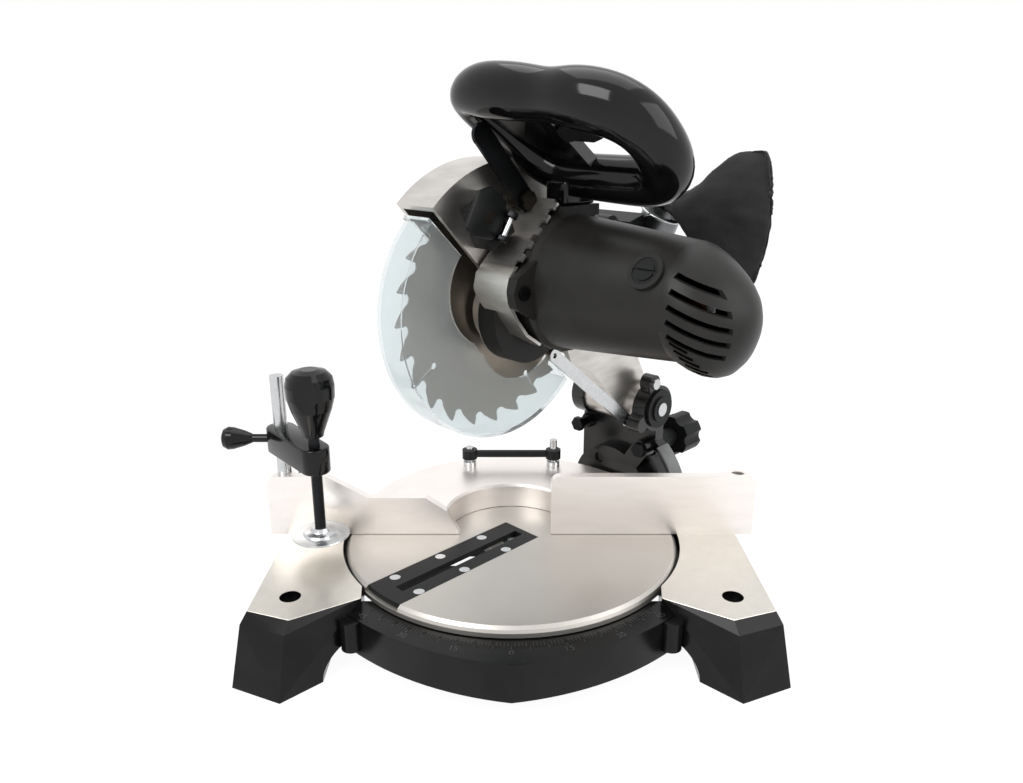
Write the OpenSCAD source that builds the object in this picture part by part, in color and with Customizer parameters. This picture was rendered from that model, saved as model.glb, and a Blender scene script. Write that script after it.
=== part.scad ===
// Compound mitre saw, shown with its head raised and swung to the mitre angle.
// Millimetres. Origin on the bench under the turntable axis: +X right, +Y to the rear, +Z up.
// What turns with the table is drawn with the blade plane on Y and then swung by mitre_rest.

/* [Table and base] */
// Height of the table top above the bench
table_h = 62; // [60:1:68]
// Half width of the side tables at their outer top edge
table_half_w = 219; // [216:1:226]
// Outward flare of the feet at the bench
foot_flare = 10; // [4:1:12]
// Reach of the side tables in front of the turntable axis
table_front = 152; // [148:1:156]
// Reach of the side tables behind the turntable axis
table_rear = 72; // [66:1:76]
// Height of the chamfer round the table tops
table_chamfer = 9; // [6:1:11]
// Thickness of the cast walls
cast_wall = 7; // [5:0.5:8]
// Radius of the two arcs of the pointed front apron
prow_r = 252; // [244:1:262]
// Drop of the mitre scale below the table top
scale_drop = 10.5; // [10:0.5:13]
// Underside of the front apron above the bench
prow_z = 18; // [12:1:24]
// Half spacing of the bench bolts across the base
bolt_half_x = 186; // [182:1:190]
// Bench bolts in front of the turntable axis
bolt_front = 112; // [106:1:116]
// Bench bolts behind the turntable axis
bolt_rear = 52; // [50:1:56]
// Radius of the bench bolt holes
bolt_r = 4.5; // [3.5:0.25:5]

/* [Turntable] */
// Radius of the turntable rim
turntable_r = 158; // [154:1:160]
// Height of the turntable rim
rim_h = 9; // [7:0.5:10]
// Width of the kerf insert
insert_w = 44; // [38:1:50]
// Thickness of the kerf insert
insert_t = 5; // [3:0.5:6]
// Mitre angle of the blade at rest, to the left
mitre_rest = 45; // [0:1:45]
// Radius of the turntable pivot bolt
pivot_bolt_r = 6; // [5:0.5:7]

/* [Fence] */
// Height of the fence plates above the table
fence_h = 60; // [56:1:62]
// Height of the low step that lets the tilted head pass
fence_step_h = 38; // [34:1:40]
// Thickness of the fence plates
fence_t = 9; // [7:0.5:10]
// Half length of the fence
fence_half_w = 232; // [230:1:236]
// Inner radius of the rear bow
bow_in = 62; // [58:1:66]
// Outer radius of the rear bow
bow_out = 147; // [142:1:147]
// Height of the rear bow above the table
bow_h = 24; // [20:1:25]
// Height of the rear rail above the table
rail_up = 38; // [36:1:42]

/* [Blade and guards] */
// Diameter of the saw blade
blade_d = 210; // [200:1:212]
// Thickness of the blade body
blade_t = 1.8; // [1.6:0.1:2.4]
// Number of teeth
teeth = 24; // [20:2:30]
// Blade centre in front of the turntable axis with the head raised
blade_fwd = 22; // [20:1:24]
// Blade centre above the table with the head raised
blade_up = 228; // [225:1:232]
// Radius of the arbor
arbor_r = 8; // [7:0.5:9]
// Gap between the tooth tips and the lower guard
guard_gap = 6; // [5:0.5:7]
// Wall of the lower guard
guard_wall = 2.6; // [2:0.2:3]
// Wall of the upper guard
case_wall = 4; // [3.5:0.25:4.5]

/* [Head] */
// Chop pivot behind the turntable axis
pivot_back = 164; // [163:1:166]
// Chop pivot above the table
pivot_up = 100; // [98:1:102]
// Radius of the chop pin
chop_pin_r = 7; // [6:0.5:8]
// Module of the reduction gears
gear_m = 1.25; // [1.2:0.01:1.3]
// Teeth of the motor pinion
pinion_n = 9; // [9:1:10]
// Teeth of the driven gear
gear_n = 52; // [50:1:53]
// Direction from the arbor to the motor axis
motor_lean = 43; // [41:1:45]
// Radius of the motor body behind its flange
motor_r = 55; // [53:1:56]
// Radius of the motor body at its end cover
motor_end_r = 45; // [43:1:47]
// Length of the motor body
motor_l = 138; // [134:1:142]
// Length of the motor end cover
cover_l = 32; // [30:1:36]
// Radius of the handle bars
bar_r = 19; // [17:0.5:19.5]
// Outer width of the D-handle
handle_w = 190; // [184:1:196]
// Distance between the two bars of the D-handle
handle_gap = 77; // [75:1:80]

/* [Clamp] */
// Radius of the clamp rod
rod_r = 6.5; // [6:0.25:7]
// Top of the clamp rod above the table
rod_up = 157; // [152:1:164]
// Reach of the clamp arm to the right
clamp_dx = 43; // [41:1:44]
// Reach of the clamp arm to the front
clamp_dy = 51; // [49:1:54]
// Pressure pad above the table
pad_up = 20; // [17:1:22]
// Radius of the clamp spindle
spindle_r = 5; // [4.5:0.25:5.5]

/* [Hidden] */
$fn = 72;
fit = 0.05;
gap = 0.4;
eps = 0.01;
steel = "#b9bbbb";
cast = "#c4c2bc";
black = "#161718";
plastic = "#232425";

// Base
apron_apex = 192;
prow_off = 41;
prow_cy = sqrt(prow_r * prow_r - prow_off * prow_off) - apron_apex;
scale_z = table_h - scale_drop;
opening_r = turntable_r + 2;
side_inner = 126;
inner_arch = 30;
post_x = 133;
post_y = prow_cy - sqrt(prow_r * prow_r - pow(post_x + prow_off, 2)) - 3;
bolt_boss_r = bolt_r + 6.5;
seat_r = bolt_r + 4.5;
seat_depth = 7;
hub_r = 24;
neck_z = table_h - 40;
hub_top = neck_z - 2;
beam_z = 5;
beam_top = 17;
bolt_spots = [for (sx = [-1, 1], y = [-bolt_front, bolt_rear]) [sx * bolt_half_x, y]];

// Fence
gate_right = 38;
gate_left = -50;
lug_t = 9;
lug_deep = 34;
fence_bolt_r = 4;
fence_spots = [for (x = [-200, -168, 168, 200]) [x, fence_t + 13]];
rail_at = [45, 112];
rail_r = 4;
bow_wall = 6;

// Turntable
top_z = table_h - gap;
plate_t = 12;
skirt_r = 145;
skirt_h = 26;
skirt_wall = 8;
spigot_r = 21;
neck_half = 34;
insert_front = turntable_r - 6;
insert_rear = 14;
ledge = 8;
trough_rear = -26;
kerf = [-3, 7];
screw_r = 2.5;
insert_spots = [for (sx = [-1, 1], y = [-128, -76, -24]) [sx * (insert_w / 2 - 5.4), y]];

// Tilt bracket: a fixed plate on the turntable neck and a housing that tilts behind it
plate_y0 = 150;
plate_y1 = 162;
plate_r = 48;
house_y0 = plate_y1 + gap;
house_y1 = house_y0 + 13;
house_r = 52;
tilt_pin_r = 8;
stud_r = 5;
stud_reach = 67;
stud_turn = 56;
tilt_max = 45;
stud_at = [stud_reach * cos(stud_turn), table_h + stud_reach * sin(stud_turn)];
knob_y0 = 205;
knob_y1 = 232;
quad_r = stud_reach + 13;
tower_half = 48;
ear_x0 = 33;
ear_x1 = 48;
ear_r = 24;
barrel_r = 21;
barrel_x = ear_x0 - 0.5;
pivot = [pivot_back, table_h + pivot_up];
link_pin = pivot + [-25, -12];
link_pin_r = 3;
link_x0 = 27.5;
link_x1 = 31;
link_end = [24, table_h + 180];
stop_at = [-40, table_h + 66];
knob_r = 22;
neck_spots = [for (sx = [-1, 1], z = [9, 25]) [sx * (neck_half - 9), neck_z + z]];

// Blade, guards and gears
blade_r = blade_d / 2;
hub = [-blade_fwd, table_h + blade_up];
lower_in = blade_r + guard_gap;
lower_out = lower_in + guard_wall;
near_x = 16.5;
far_x = -13.5;
guard_from = 135;
guard_to = 315;
guard_boss_r = 30;
lip = 3;
upper_in = lower_out + lip + 2.5;
upper_out = upper_in + 1.25 * case_wall;
case_near = 24;
case_far = -16.5 - case_wall;
case_from = -32;
case_to = 133;
flange_r = 20;
bearing_r = 2 * arbor_r;
arbor_boss_r = 30;
centre_d = gear_m * (pinion_n + gear_n) / 2;
tooth = [[0, 0], [9, 0.07], [11, 0.2], [10.5, 0.36], [7, 0.5], [1.6, 0.86]];
motor = hub + centre_d * [cos(motor_lean), sin(motor_lean)];
gear_r = gear_m * gear_n / 2;
gear_x0 = 30;
gear_x1 = 39;
gearcase_r = gear_r + 2 * gear_m + 6.5;

// Motor
case_back = 45;
flange_l = 25;
flange_out = motor_r + 3;
motor_wall = 3.5;
motor_x1 = case_back + flange_l;
motor_x2 = case_back + motor_l;
motor_x3 = motor_x2 + cover_l;
shaft_r = 5;
shaft_nose_r = 3;
ball_r = 11;
lug_turns = [40, 180, 318];
lug_reach = flange_out + 6;
lug_r = 9;
pad_top = motor[1] + flange_out + 4;
brush_x = motor_x2 - 16;
brush_r = 10.5;
brush_turns = [147, 327];
stator_x = [95, 140];
vent_step = 7.5;

// D-handle, across the head and leaning forward
handle_x = 80;
handle_lean = 45;
corner_r = 32;
handle_low = hub + [37, 107];
half_run = handle_w / 2 - bar_r;
swell = 3;
trigger_x = [0, 46];
trigger_half = 7;
trigger_drop = 9;

// Guard release
lever_x = [36, 39];
lever_pin = hub + [0, 92];
lever_tip = hub + [-47, 143];
latch_turn = 116;
latch_r = [70, 104];
latch_half = 14;
latch_x = 44;

// Dust outlet
tube_r = 17;
tube_wall = 2.5;
tube_low = [56, hub[0] + 142, hub[1] + 40];
tube_high = [75, hub[0] + 142, hub[1] + 83];
clip_z = 37;
tube_l = norm(tube_high - tube_low);
bag_blobs = [[112, 146, 100, 21], [138, 150, 106, 22], [152, 150, 100, 22], [152, 150, 68, 21],
    [144, 148, 38, 19]];

// Clamp
rod_at = [-217, 11];
rod_z0 = table_h + 4;
socket_r = 10.5;
socket_top = table_h + fence_h - 2;
socket_z = socket_top - 5;
arm_z0 = table_h + fence_h + 23;
arm_z1 = arm_z0 + 24;
spin_at = rod_at + [clamp_dx, -clamp_dy];
pad_r = 24;
pad_z = table_h + pad_up;
pad_h = 9;
knob_z0 = arm_z1 + 10;
knob_z1 = knob_z0 + 61;
knob_flute = 44;
lock_z = (arm_z0 + arm_z1) / 2;
lock_r = 4;

function polar(r, a) = r * [cos(a), sin(a)];
function mid(a, b, t) = a + (b - a) * t;

// Radius of the tapering motor body at x
function motor_at(x) = mid(motor_r, motor_end_r, (x - motor_x1) / (motor_x2 - motor_x1));

// Swing a piece that is drawn along the blade plane to the mitre angle
module swung() {
    rotate([0, 0, -mitre_rest]) children();
}

// Y-Z outline given thickness from x0 to x1
module along_x(x0, x1) {
    translate([x0, 0, 0]) rotate([90, 0, 90]) linear_extrude(x1 - x0) children();
}

// X-Z outline given thickness from y0 to y1
module along_y(y0, y1) {
    translate([0, y1, 0]) rotate([90, 0, 0]) linear_extrude(y1 - y0) children();
}

// X-Y outline given thickness from z0 to z1
module slab(z0, z1) {
    translate([0, 0, z0]) linear_extrude(z1 - z0) children();
}

// Round bar along X through a Y-Z point
module bar_x(x0, x1, at, r) {
    translate([x0, at[0], at[1]]) rotate([0, 90, 0]) cylinder(r = r, h = x1 - x0);
}

// Round bar along Y through an X-Z point
module bar_y(y0, y1, at, r) {
    translate([at[0], y0, at[1]]) rotate([-90, 0, 0]) cylinder(r = r, h = y1 - y0);
}

// Upright round bar
module bar_z(z0, z1, at, r) {
    translate([at[0], at[1], z0]) cylinder(r = r, h = z1 - z0);
}

// Flat ring sector between two angles less than 200 degrees apart
module sector(r0, r1, a0, a1) {
    step = (a1 - a0) / 6;
    intersection() {
        difference() {
            circle(r = r1, $fn = 180);
            if (r0 > 0) circle(r = r0, $fn = 180);
        }
        polygon(concat([[0, 0]], [for (i = [0:6]) polar(1.3 * r1, a0 + i * step)]));
    }
}

// Flat strip with round ends
module strip(a, b, r) {
    d = b - a;
    translate(a) circle(r = r);
    translate(b) circle(r = r);
    translate(a) rotate(atan2(d[1], d[0])) translate([0, -0.97 * r]) square([norm(d), 1.94 * r]);
}

// Solid turned about the motor axis, drawn with radius across and distance along X upward
module about_motor() {
    translate([0, motor[0], motor[1]]) rotate([0, 90, 0]) rotate_extrude($fn = 144) children();
}

// Outline of the right side table, flared by g, with its inner edge at x
function side_outline(g, x) = [
    [x, -(table_front - 38)],
    [table_half_w - 39 + g / 2, -(table_front + 1.8 * g)],
    [table_half_w + g, -(table_front - 15 + 1.3 * g)],
    [table_half_w + g, table_rear + g / 2],
    [x + 44, table_rear + g / 2],
    [x + 24, table_rear - 18]];

module side_table() {
    shoulder = table_h - table_chamfer;
    skin = 0.6;
    hull() {
        slab(0, skin) polygon(side_outline(foot_flare, side_inner));
        slab(shoulder - skin, shoulder) polygon(side_outline(2, side_inner));
        slab(table_h - skin, table_h) polygon(side_outline(-3, side_inner));
    }
}

// Hollow under a side table and the arches beside its feet
module side_hollow() {
    inner = side_inner + 46;
    outer = table_half_w - cast_wall;
    slab(-1, table_h - table_chamfer - cast_wall) polygon([
        [inner, -(table_front - 38)], [table_half_w - 42, -(table_front - 13)],
        [outer, -(table_front - 24)], [outer, table_rear - 4],
        [inner + 34, table_rear - 4], [inner + 24, table_rear - 18]]);
    along_y(-table_front - 50, table_rear + 20) translate([side_inner, 0]) circle(r = inner_arch);
    arch = [-(table_front - 66), table_rear - 30];
    along_x(table_half_w - 24, table_half_w + foot_flare + 5) {
        translate([arch[0], -1]) square([arch[1] - arch[0], 15]);
        translate([arch[0] + 12, -1]) square([arch[1] - arch[0] - 24, 27]);
        for (y = [arch[0] + 12, arch[1] - 12]) translate([y, 14]) circle(r = 12);
    }
}

// Plan of the pointed front apron, where two large arcs meet
module prow_plan(inset) {
    intersection() {
        translate([-prow_off, prow_cy]) circle(r = prow_r - inset, $fn = 240);
        translate([prow_off, prow_cy]) circle(r = prow_r - inset, $fn = 240);
        translate([-side_inner - 16 - inset, -apron_apex - 10])
            square([2 * (side_inner + 16 + inset), apron_apex - 92 + inset]);
    }
}

module base() color(black) difference() {
    union() {
        difference() {
            for (m = [0, 1]) mirror([m, 0, 0]) side_table();
            for (m = [0, 1]) mirror([m, 0, 0]) side_hollow();
        }
        for (p = bolt_spots) bar_z(0, table_h - 3, p, bolt_boss_r);
        difference() {
            slab(prow_z, scale_z) prow_plan(0);
            slab(prow_z - 1, scale_z - cast_wall) prow_plan(cast_wall);
        }
        for (s = [-1, 1]) bar_z(prow_z + 6, scale_z - 1, [s * post_x, post_y], cast_wall + 2);
        translate([-table_half_w + 20, -hub_r + 6, beam_z])
            cube([2 * table_half_w - 40, 2 * hub_r - 12, beam_top - beam_z]);
        translate([-14, -apron_apex + 42, beam_z + 4]) cube([28, apron_apex - 42, beam_top - beam_z - 4]);
        translate([-13, -apron_apex + 4, prow_z + 1]) cube([26, 42, scale_z - prow_z - 3]);
        translate([-12, -apron_apex + 26, beam_z + 6]) cube([24, 36, prow_z - beam_z]);
        translate([-table_half_w + 20, table_rear - 14, beam_z])
            cube([2 * table_half_w - 40, 12, beam_top - beam_z - 2]);
        cylinder(r = hub_r, h = hub_top - gap);
    }
    translate([0, 0, scale_z + 0.3]) cylinder(r = opening_r, h = table_h, $fn = 180);
    translate([0, 0, beam_top + 0.5]) cylinder(r = skirt_r + 3, h = table_h, $fn = 180);
    translate([0, 0, beam_z + 2]) cylinder(r = pivot_bolt_r + fit, h = table_h);
    for (p = bolt_spots) {
        bar_z(-1, table_h + 1, p, bolt_r);
        bar_z(table_h - seat_depth, table_h + 1, p, seat_r);
    }
    for (p = fence_spots) bar_z(table_h - 14, table_h + 1, p, fence_bolt_r + fit);
}

// Front outline of the two fence plates
module fence_front() {
    corner = 8;
    polygon([[-fence_half_w, 0], [-fence_half_w, fence_h - corner], [-fence_half_w + corner, fence_h],
        [-176, fence_h], [-136, fence_step_h], [-82, fence_step_h], [-bow_in, bow_h], [gate_left, 0]]);
    translate([-fence_half_w + corner, fence_h - corner]) circle(r = corner);
    polygon([[gate_right, 0], [gate_right, fence_h - corner], [gate_right + corner, fence_h],
        [fence_half_w - corner, fence_h], [fence_half_w, fence_h - corner], [fence_half_w, 0]]);
    for (x = [gate_right + corner, fence_half_w - corner])
        translate([x, fence_h - corner]) circle(r = corner);
}

module fence() color(cast) difference() {
    union() {
        translate([0, 0, table_h]) along_y(0, fence_t) fence_front();
        translate([0, 0, table_h]) rotate_extrude(angle = 180, $fn = 180) polygon([
            [bow_in, 0], [bow_in, bow_h - 2], [bow_in + 2, bow_h], [bow_out - 22, bow_h],
            [bow_out - 18, bow_h - 3], [bow_out - 2, bow_h - 3], [bow_out, bow_h - 6], [bow_out, 0],
            [bow_out - bow_wall, 0], [bow_out - bow_wall, bow_h - 3 - bow_wall],
            [bow_in + bow_wall, bow_h - 3 - bow_wall], [bow_in + bow_wall, 0]]);
        for (s = [-1, 1]) translate([s * 188 - 30, fence_t - eps, table_h]) cube([60, lug_deep, lug_t]);
        for (s = [-1, 1]) bar_z(table_h, socket_top, [s * rod_at[0], rod_at[1]], socket_r);
        for (s = [-1, 1]) translate([s * 180 - 3, fence_t - eps, table_h + lug_t - eps])
            rotate([90, 0, 90]) linear_extrude(6) polygon([[0, 0], [lug_deep, 0], [0, fence_h - 16]]);
    }
    for (s = [-1, 1]) bar_z(table_h - 1, table_h + fence_h + 1, [s * rod_at[0], rod_at[1]], rod_r + fit);
    for (p = fence_spots) bar_z(table_h - 1, table_h + lug_t + 1, p, fence_bolt_r + fit);
    on_socket() bar_x(0, socket_r + 20, [0, socket_z], screw_r + fit);
    for (s = [-1, 1]) bar_z(table_h + bow_h - bow_wall - 6, table_h + bow_h + 1,
        [s * rail_at[0], rail_at[1]], rail_r - 1 + fit);
}

// Hexagon socket screw standing on z with its shank below
module cap_screw(at, z, r, h, depth) {
    difference() {
        union() {
            bar_z(z, z + h, at, 1.7 * r);
            bar_z(z - depth, z + eps, at, r);
        }
        translate([at[0], at[1], z + h / 2]) cylinder(r = 0.9 * r, h = h, $fn = 6);
    }
}

module fence_screws() color(black) {
    for (p = fence_spots) cap_screw(p, table_h + lug_t, fence_bolt_r, 6, lug_t + 12);
}

module rail_bar() color(black) {
    z = table_h + rail_up;
    difference() {
        union() {
            bar_x(-rail_at[0], rail_at[0], [rail_at[1], z], rail_r);
            for (s = [-1, 1]) bar_z(z - 5, z + 5, [s * rail_at[0], rail_at[1]], rail_r + 4);
        }
        for (s = [-1, 1]) bar_z(z - 6, z + 6, [s * rail_at[0], rail_at[1]], rail_r + fit);
    }
}

module rail_posts() color(steel) {
    seat = table_h + bow_h;
    for (s = [-1, 1]) {
        bar_z(seat, table_h + rail_up + 12 + 4 * s, [s * rail_at[0], rail_at[1]], rail_r);
        bar_z(seat - bow_wall - 2, seat + eps, [s * rail_at[0], rail_at[1]], rail_r - 1);
        bar_z(seat, seat + 6, [s * rail_at[0], rail_at[1]], rail_r + 3);
    }
}

// Direction of the thumb screw in the clamp socket, behind the fence
module on_socket() {
    translate([rod_at[0], rod_at[1], 0]) rotate([0, 0, 28]) children();
}

module socket_screw() color(black) on_socket() {
    bar_x(rod_r + 1, socket_r + 6, [0, socket_z], screw_r);
    difference() {
        bar_x(socket_r + 4, socket_r + 11, [0, socket_z], 8);
        for (i = [0:5]) bar_x(socket_r + 3, socket_r + 12, [0, socket_z] + polar(10.5, 60 * i), 3.5);
    }
}

module pivot_bolt() color(steel) {
    z = top_z - plate_t + 2 + gap;
    difference() {
        union() {
            bar_z(beam_z + 3, z + eps, [0, 0], pivot_bolt_r);
            bar_z(z, z + 4, [0, 0], pivot_bolt_r + 4);
        }
        translate([0, 0, z + 2]) cylinder(r = 4, h = 4, $fn = 6);
    }
}

module turntable() color(cast) swung() difference() {
    union() {
        rotate_extrude($fn = 180) polygon([[0, top_z - plate_t], [skirt_r - 1, top_z - plate_t],
            [skirt_r - 1, top_z - rim_h], [turntable_r, top_z - rim_h], [turntable_r, top_z - 5],
            [turntable_r - 1.2, top_z - 2.4], [turntable_r - 4, top_z], [0, top_z]]);
        difference() {
            bar_z(top_z - skirt_h, top_z - plate_t + eps, [0, 0], skirt_r, $fn = 180);
            bar_z(top_z - skirt_h - 1, top_z - plate_t, [0, 0], skirt_r - skirt_wall, $fn = 180);
        }
        bar_z(neck_z - 2, top_z - plate_t + eps, [0, 0], spigot_r);
        translate([-neck_half, skirt_r - 40, neck_z])
            cube([2 * neck_half, plate_y0 - skirt_r + 40, table_h - plate_t - neck_z + 6]);
        for (x = [-neck_half, neck_half - skirt_wall])
            translate([x, 0, top_z - skirt_h]) cube([skirt_wall, skirt_r - 4, skirt_h - plate_t + eps]);
    }
    translate([-neck_half + 9, skirt_r - 41, neck_z - 1])
        cube([2 * neck_half - 18, plate_y0 - skirt_r + 29, table_h - plate_t - neck_z - 8]);
    translate([-insert_w / 2 - gap / 2, -turntable_r - 1, top_z - insert_t])
        cube([insert_w + gap, turntable_r + 1 + insert_rear + gap, insert_t + 1]);
    translate([-insert_w / 2 + ledge, -insert_front + 12, neck_z])
        cube([insert_w - 2 * ledge + 4, insert_front - 12 + trough_rear, table_h]);
    bar_z(neck_z - 3, table_h, [0, 0], pivot_bolt_r + fit);
    bar_y(plate_y0 - 2.5, plate_y0 + 1, [0, table_h], tilt_pin_r + 5);
    translate([-plate_r - 1, plate_y0, 0]) cube([2 * plate_r + 2, turntable_r, table_h]);
    bar_z(top_z - plate_t + 2, table_h, [0, 0], pivot_bolt_r + 4 + fit);
    for (p = insert_spots) bar_z(top_z - plate_t - 1, table_h, p, screw_r + fit);
    for (p = neck_spots) bar_y(plate_y0 - 14, plate_y0 + 1, p, fence_bolt_r + fit);
}

module kerf_insert() color(black) swung() difference() {
    intersection() {
        translate([-insert_w / 2, -turntable_r - 1, top_z - insert_t])
            cube([insert_w, turntable_r + 1 + insert_rear, insert_t - 0.2]);
        bar_z(0, table_h, [0, 0], turntable_r - 4, $fn = 180);
    }
    translate([kerf[0], -insert_front + 14, 0])
        cube([kerf[1] - kerf[0], insert_front - 14 + insert_rear - 6, table_h + 1]);
    for (p = insert_spots) {
        bar_z(0, table_h + 1, p, screw_r + fit);
        bar_z(top_z - 2.4, table_h + 1, p, 2 * screw_r);
    }
}

module insert_screws() color(steel) swung() {
    for (p = insert_spots) {
        bar_z(top_z - plate_t + 1, top_z - 2.4 + eps, p, screw_r);
        bar_z(top_z - 2.4, top_z - 0.6, p, 2 * screw_r - 0.2);
    }
}

module tilt_plate() color(black) swung() difference() {
    union() {
        bar_y(plate_y0, plate_y1, [0, table_h], plate_r);
        along_y(plate_y0, plate_y1) {
            translate([-neck_half, neck_z]) square([2 * neck_half, table_h - neck_z]);
            strip([0, table_h], stud_at, stud_r + 5);
        }
    }
    bar_y(plate_y0 - 1, plate_y1 + 1, [0, table_h], tilt_pin_r + fit);
    bar_y(plate_y0 - 1, plate_y1 + 1, stud_at, stud_r + fit);
    for (p = neck_spots) {
        bar_y(plate_y0 - 1, plate_y1 + 1, p, fence_bolt_r + fit);
        bar_y(plate_y1 - 5, plate_y1 + 1, p, 1.7 * fence_bolt_r + fit);
    }
    bar_y(plate_y0 - 1, plate_y0 + 2.5, [-15, table_h + 32], 6);
}

module tilt_bolts() color(steel) swung() {
    for (p = neck_spots) difference() {
        union() {
            bar_y(plate_y0 - 12, plate_y1 - 5 + eps, p, fence_bolt_r);
            bar_y(plate_y1 - 5, plate_y1 - 0.6, p, 1.7 * fence_bolt_r);
        }
        translate([p[0], plate_y1 - 3, p[1]]) rotate([-90, 0, 0]) cylinder(r = 3.4, h = 4, $fn = 6);
    }
}

module tilt_pin() color(steel) swung() {
    bar_y(plate_y0 - eps, house_y1 + gap + 4, [0, table_h], tilt_pin_r);
    bar_y(plate_y0 - 2, plate_y0, [0, table_h], tilt_pin_r + 4);
    bar_y(house_y1 + gap, house_y1 + gap + 2, [0, table_h], tilt_pin_r + 7);
    translate([0, house_y1 + gap + 2, table_h]) rotate([-90, 0, 0]) cylinder(r = 14, h = 7, $fn = 6);
}

module tilt_stud() color(steel) swung() {
    bar_y(plate_y0 - eps, knob_y1 - 4, stud_at, stud_r);
    translate([stud_at[0], plate_y0 - 4, stud_at[1]]) rotate([-90, 0, 0]) cylinder(r = 8, h = 4, $fn = 6);
}

module tilt_knob() color(plastic) swung() difference() {
    union() {
        bar_y(house_y1 + gap, knob_y0 + 1, stud_at, 9.5);
        difference() {
            bar_y(knob_y0, knob_y1, stud_at, knob_r);
            for (i = [0:5]) bar_y(knob_y0 - 1, knob_y1 + 1, stud_at + polar(knob_r + 5, 60 * i), 8.5);
        }
        bar_y(knob_y0, knob_y1 + 2, stud_at, knob_r - 8);
    }
    bar_y(house_y1, knob_y1 - 3.5, stud_at, stud_r + fit);
}

// Slot in the tilting housing that runs past the fixed stud
module stud_slot() {
    half = stud_r + gap;
    translate([0, table_h]) {
        sector(stud_reach - half, stud_reach + half, stud_turn - tilt_max - 1, stud_turn + 1);
        for (a = [stud_turn - tilt_max - 1, stud_turn + 1]) translate(polar(stud_reach, a)) circle(r = half);
    }
}

module tilt_housing() color(black) swung() difference() {
    union() {
        bar_y(house_y0, house_y1, [0, table_h], house_r);
        along_y(house_y0, house_y1) {
            translate([0, table_h]) sector(0, quad_r, stud_turn - tilt_max - 10, stud_turn + 12);
            translate([-tower_half, table_h]) square([2 * tower_half, pivot_up]);
        }
        for (m = [0, 1]) mirror([m, 0, 0]) bar_x(ear_x0, ear_x1, pivot, ear_r);
        along_x(ear_x0, ear_x1) strip(pivot, link_pin, 8);
        along_x(ear_x0 + 3, ear_x1) strip(pivot, pivot + [-8, 28], 9);
    }
    bar_x(-ear_x0, ear_x0, pivot, barrel_r + 1.5);
    translate([-ear_x0, house_y0 - 1, pivot[1] - 8]) cube([2 * ear_x0, house_y1 - house_y0 + 2, 30]);
    bar_x(-ear_x1 - 1, ear_x1 + 1, pivot, chop_pin_r + fit);
    bar_x(ear_x0 - 1, ear_x1 - 4, link_pin, link_pin_r + fit);
    bar_x(ear_x0, ear_x1 + 1, pivot + [-8, 28], screw_r + fit);
    bar_y(house_y0 - 1, house_y1 + 1, [0, table_h], tilt_pin_r + fit);
    bar_y(house_y0 - 1, house_y1 + 1, stop_at, fence_bolt_r + fit);
    along_y(house_y0 - 1, house_y1 + 1) stud_slot();
}

module tilt_scale() color("#8d8f8e") swung() {
    along_y(house_y0 - 5, house_y1) translate([0, table_h])
        sector(quad_r, quad_r + 1.6, stud_turn - tilt_max - 8, stud_turn - 8);
}

module stop_screw() color(steel) swung() {
    bar_y(house_y0 - 18, house_y1 + 5, stop_at, fence_bolt_r);
    for (y = [house_y0 - 22, house_y0 - 6]) translate([stop_at[0], y, stop_at[1]]) rotate([-90, 0, 0])
        cylinder(r = 2 * fence_bolt_r, h = 6, $fn = 6);
}

module chop_pin() color(steel) swung() {
    bar_x(-ear_x1 - 6, ear_x1 + 6, pivot, chop_pin_r);
    bar_x(link_x0 - gap, ear_x1 - 4, link_pin, link_pin_r);
    bar_x(ear_x0 + 6, ear_x1 + eps, pivot + [-8, 28], screw_r);
    bar_x(ear_x1, ear_x1 + 3, pivot + [-8, 28], 2.2 * screw_r);
}

module hub_caps() color(black) swung() {
    for (m = [0, 1]) mirror([m, 0, 0]) difference() {
        union() {
            bar_x(ear_x1, ear_x1 + 3, pivot, 20);
            bar_x(ear_x1 + 3 - eps, ear_x1 + 5, pivot, 13);
        }
        bar_x(ear_x1 - 1, ear_x1 + 7, pivot, chop_pin_r + fit);
    }
}

module gearcase_plan() {
    translate(hub) circle(r = gearcase_r);
    translate(motor) circle(r = flange_out, $fn = 144);
    for (a = lug_turns) translate(motor + polar(lug_reach, a)) circle(r = lug_r);
    polygon([hub + polar(gearcase_r, 190), hub + polar(gearcase_r, 120), motor + polar(flange_out, 170),
        motor, motor + polar(flange_out, 260), hub + polar(gearcase_r, 300)]);
}

module arm_plan() {
    polygon([pivot + polar(barrel_r, 55), hub + polar(upper_out + 10, -2), hub + polar(upper_out, 12),
        motor + polar(flange_out, 10), motor + polar(flange_out, 300), hub + polar(upper_in - 20, -40),
        hub + polar(upper_in + 9, -36), pivot + polar(barrel_r, 215)]);
}

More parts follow.
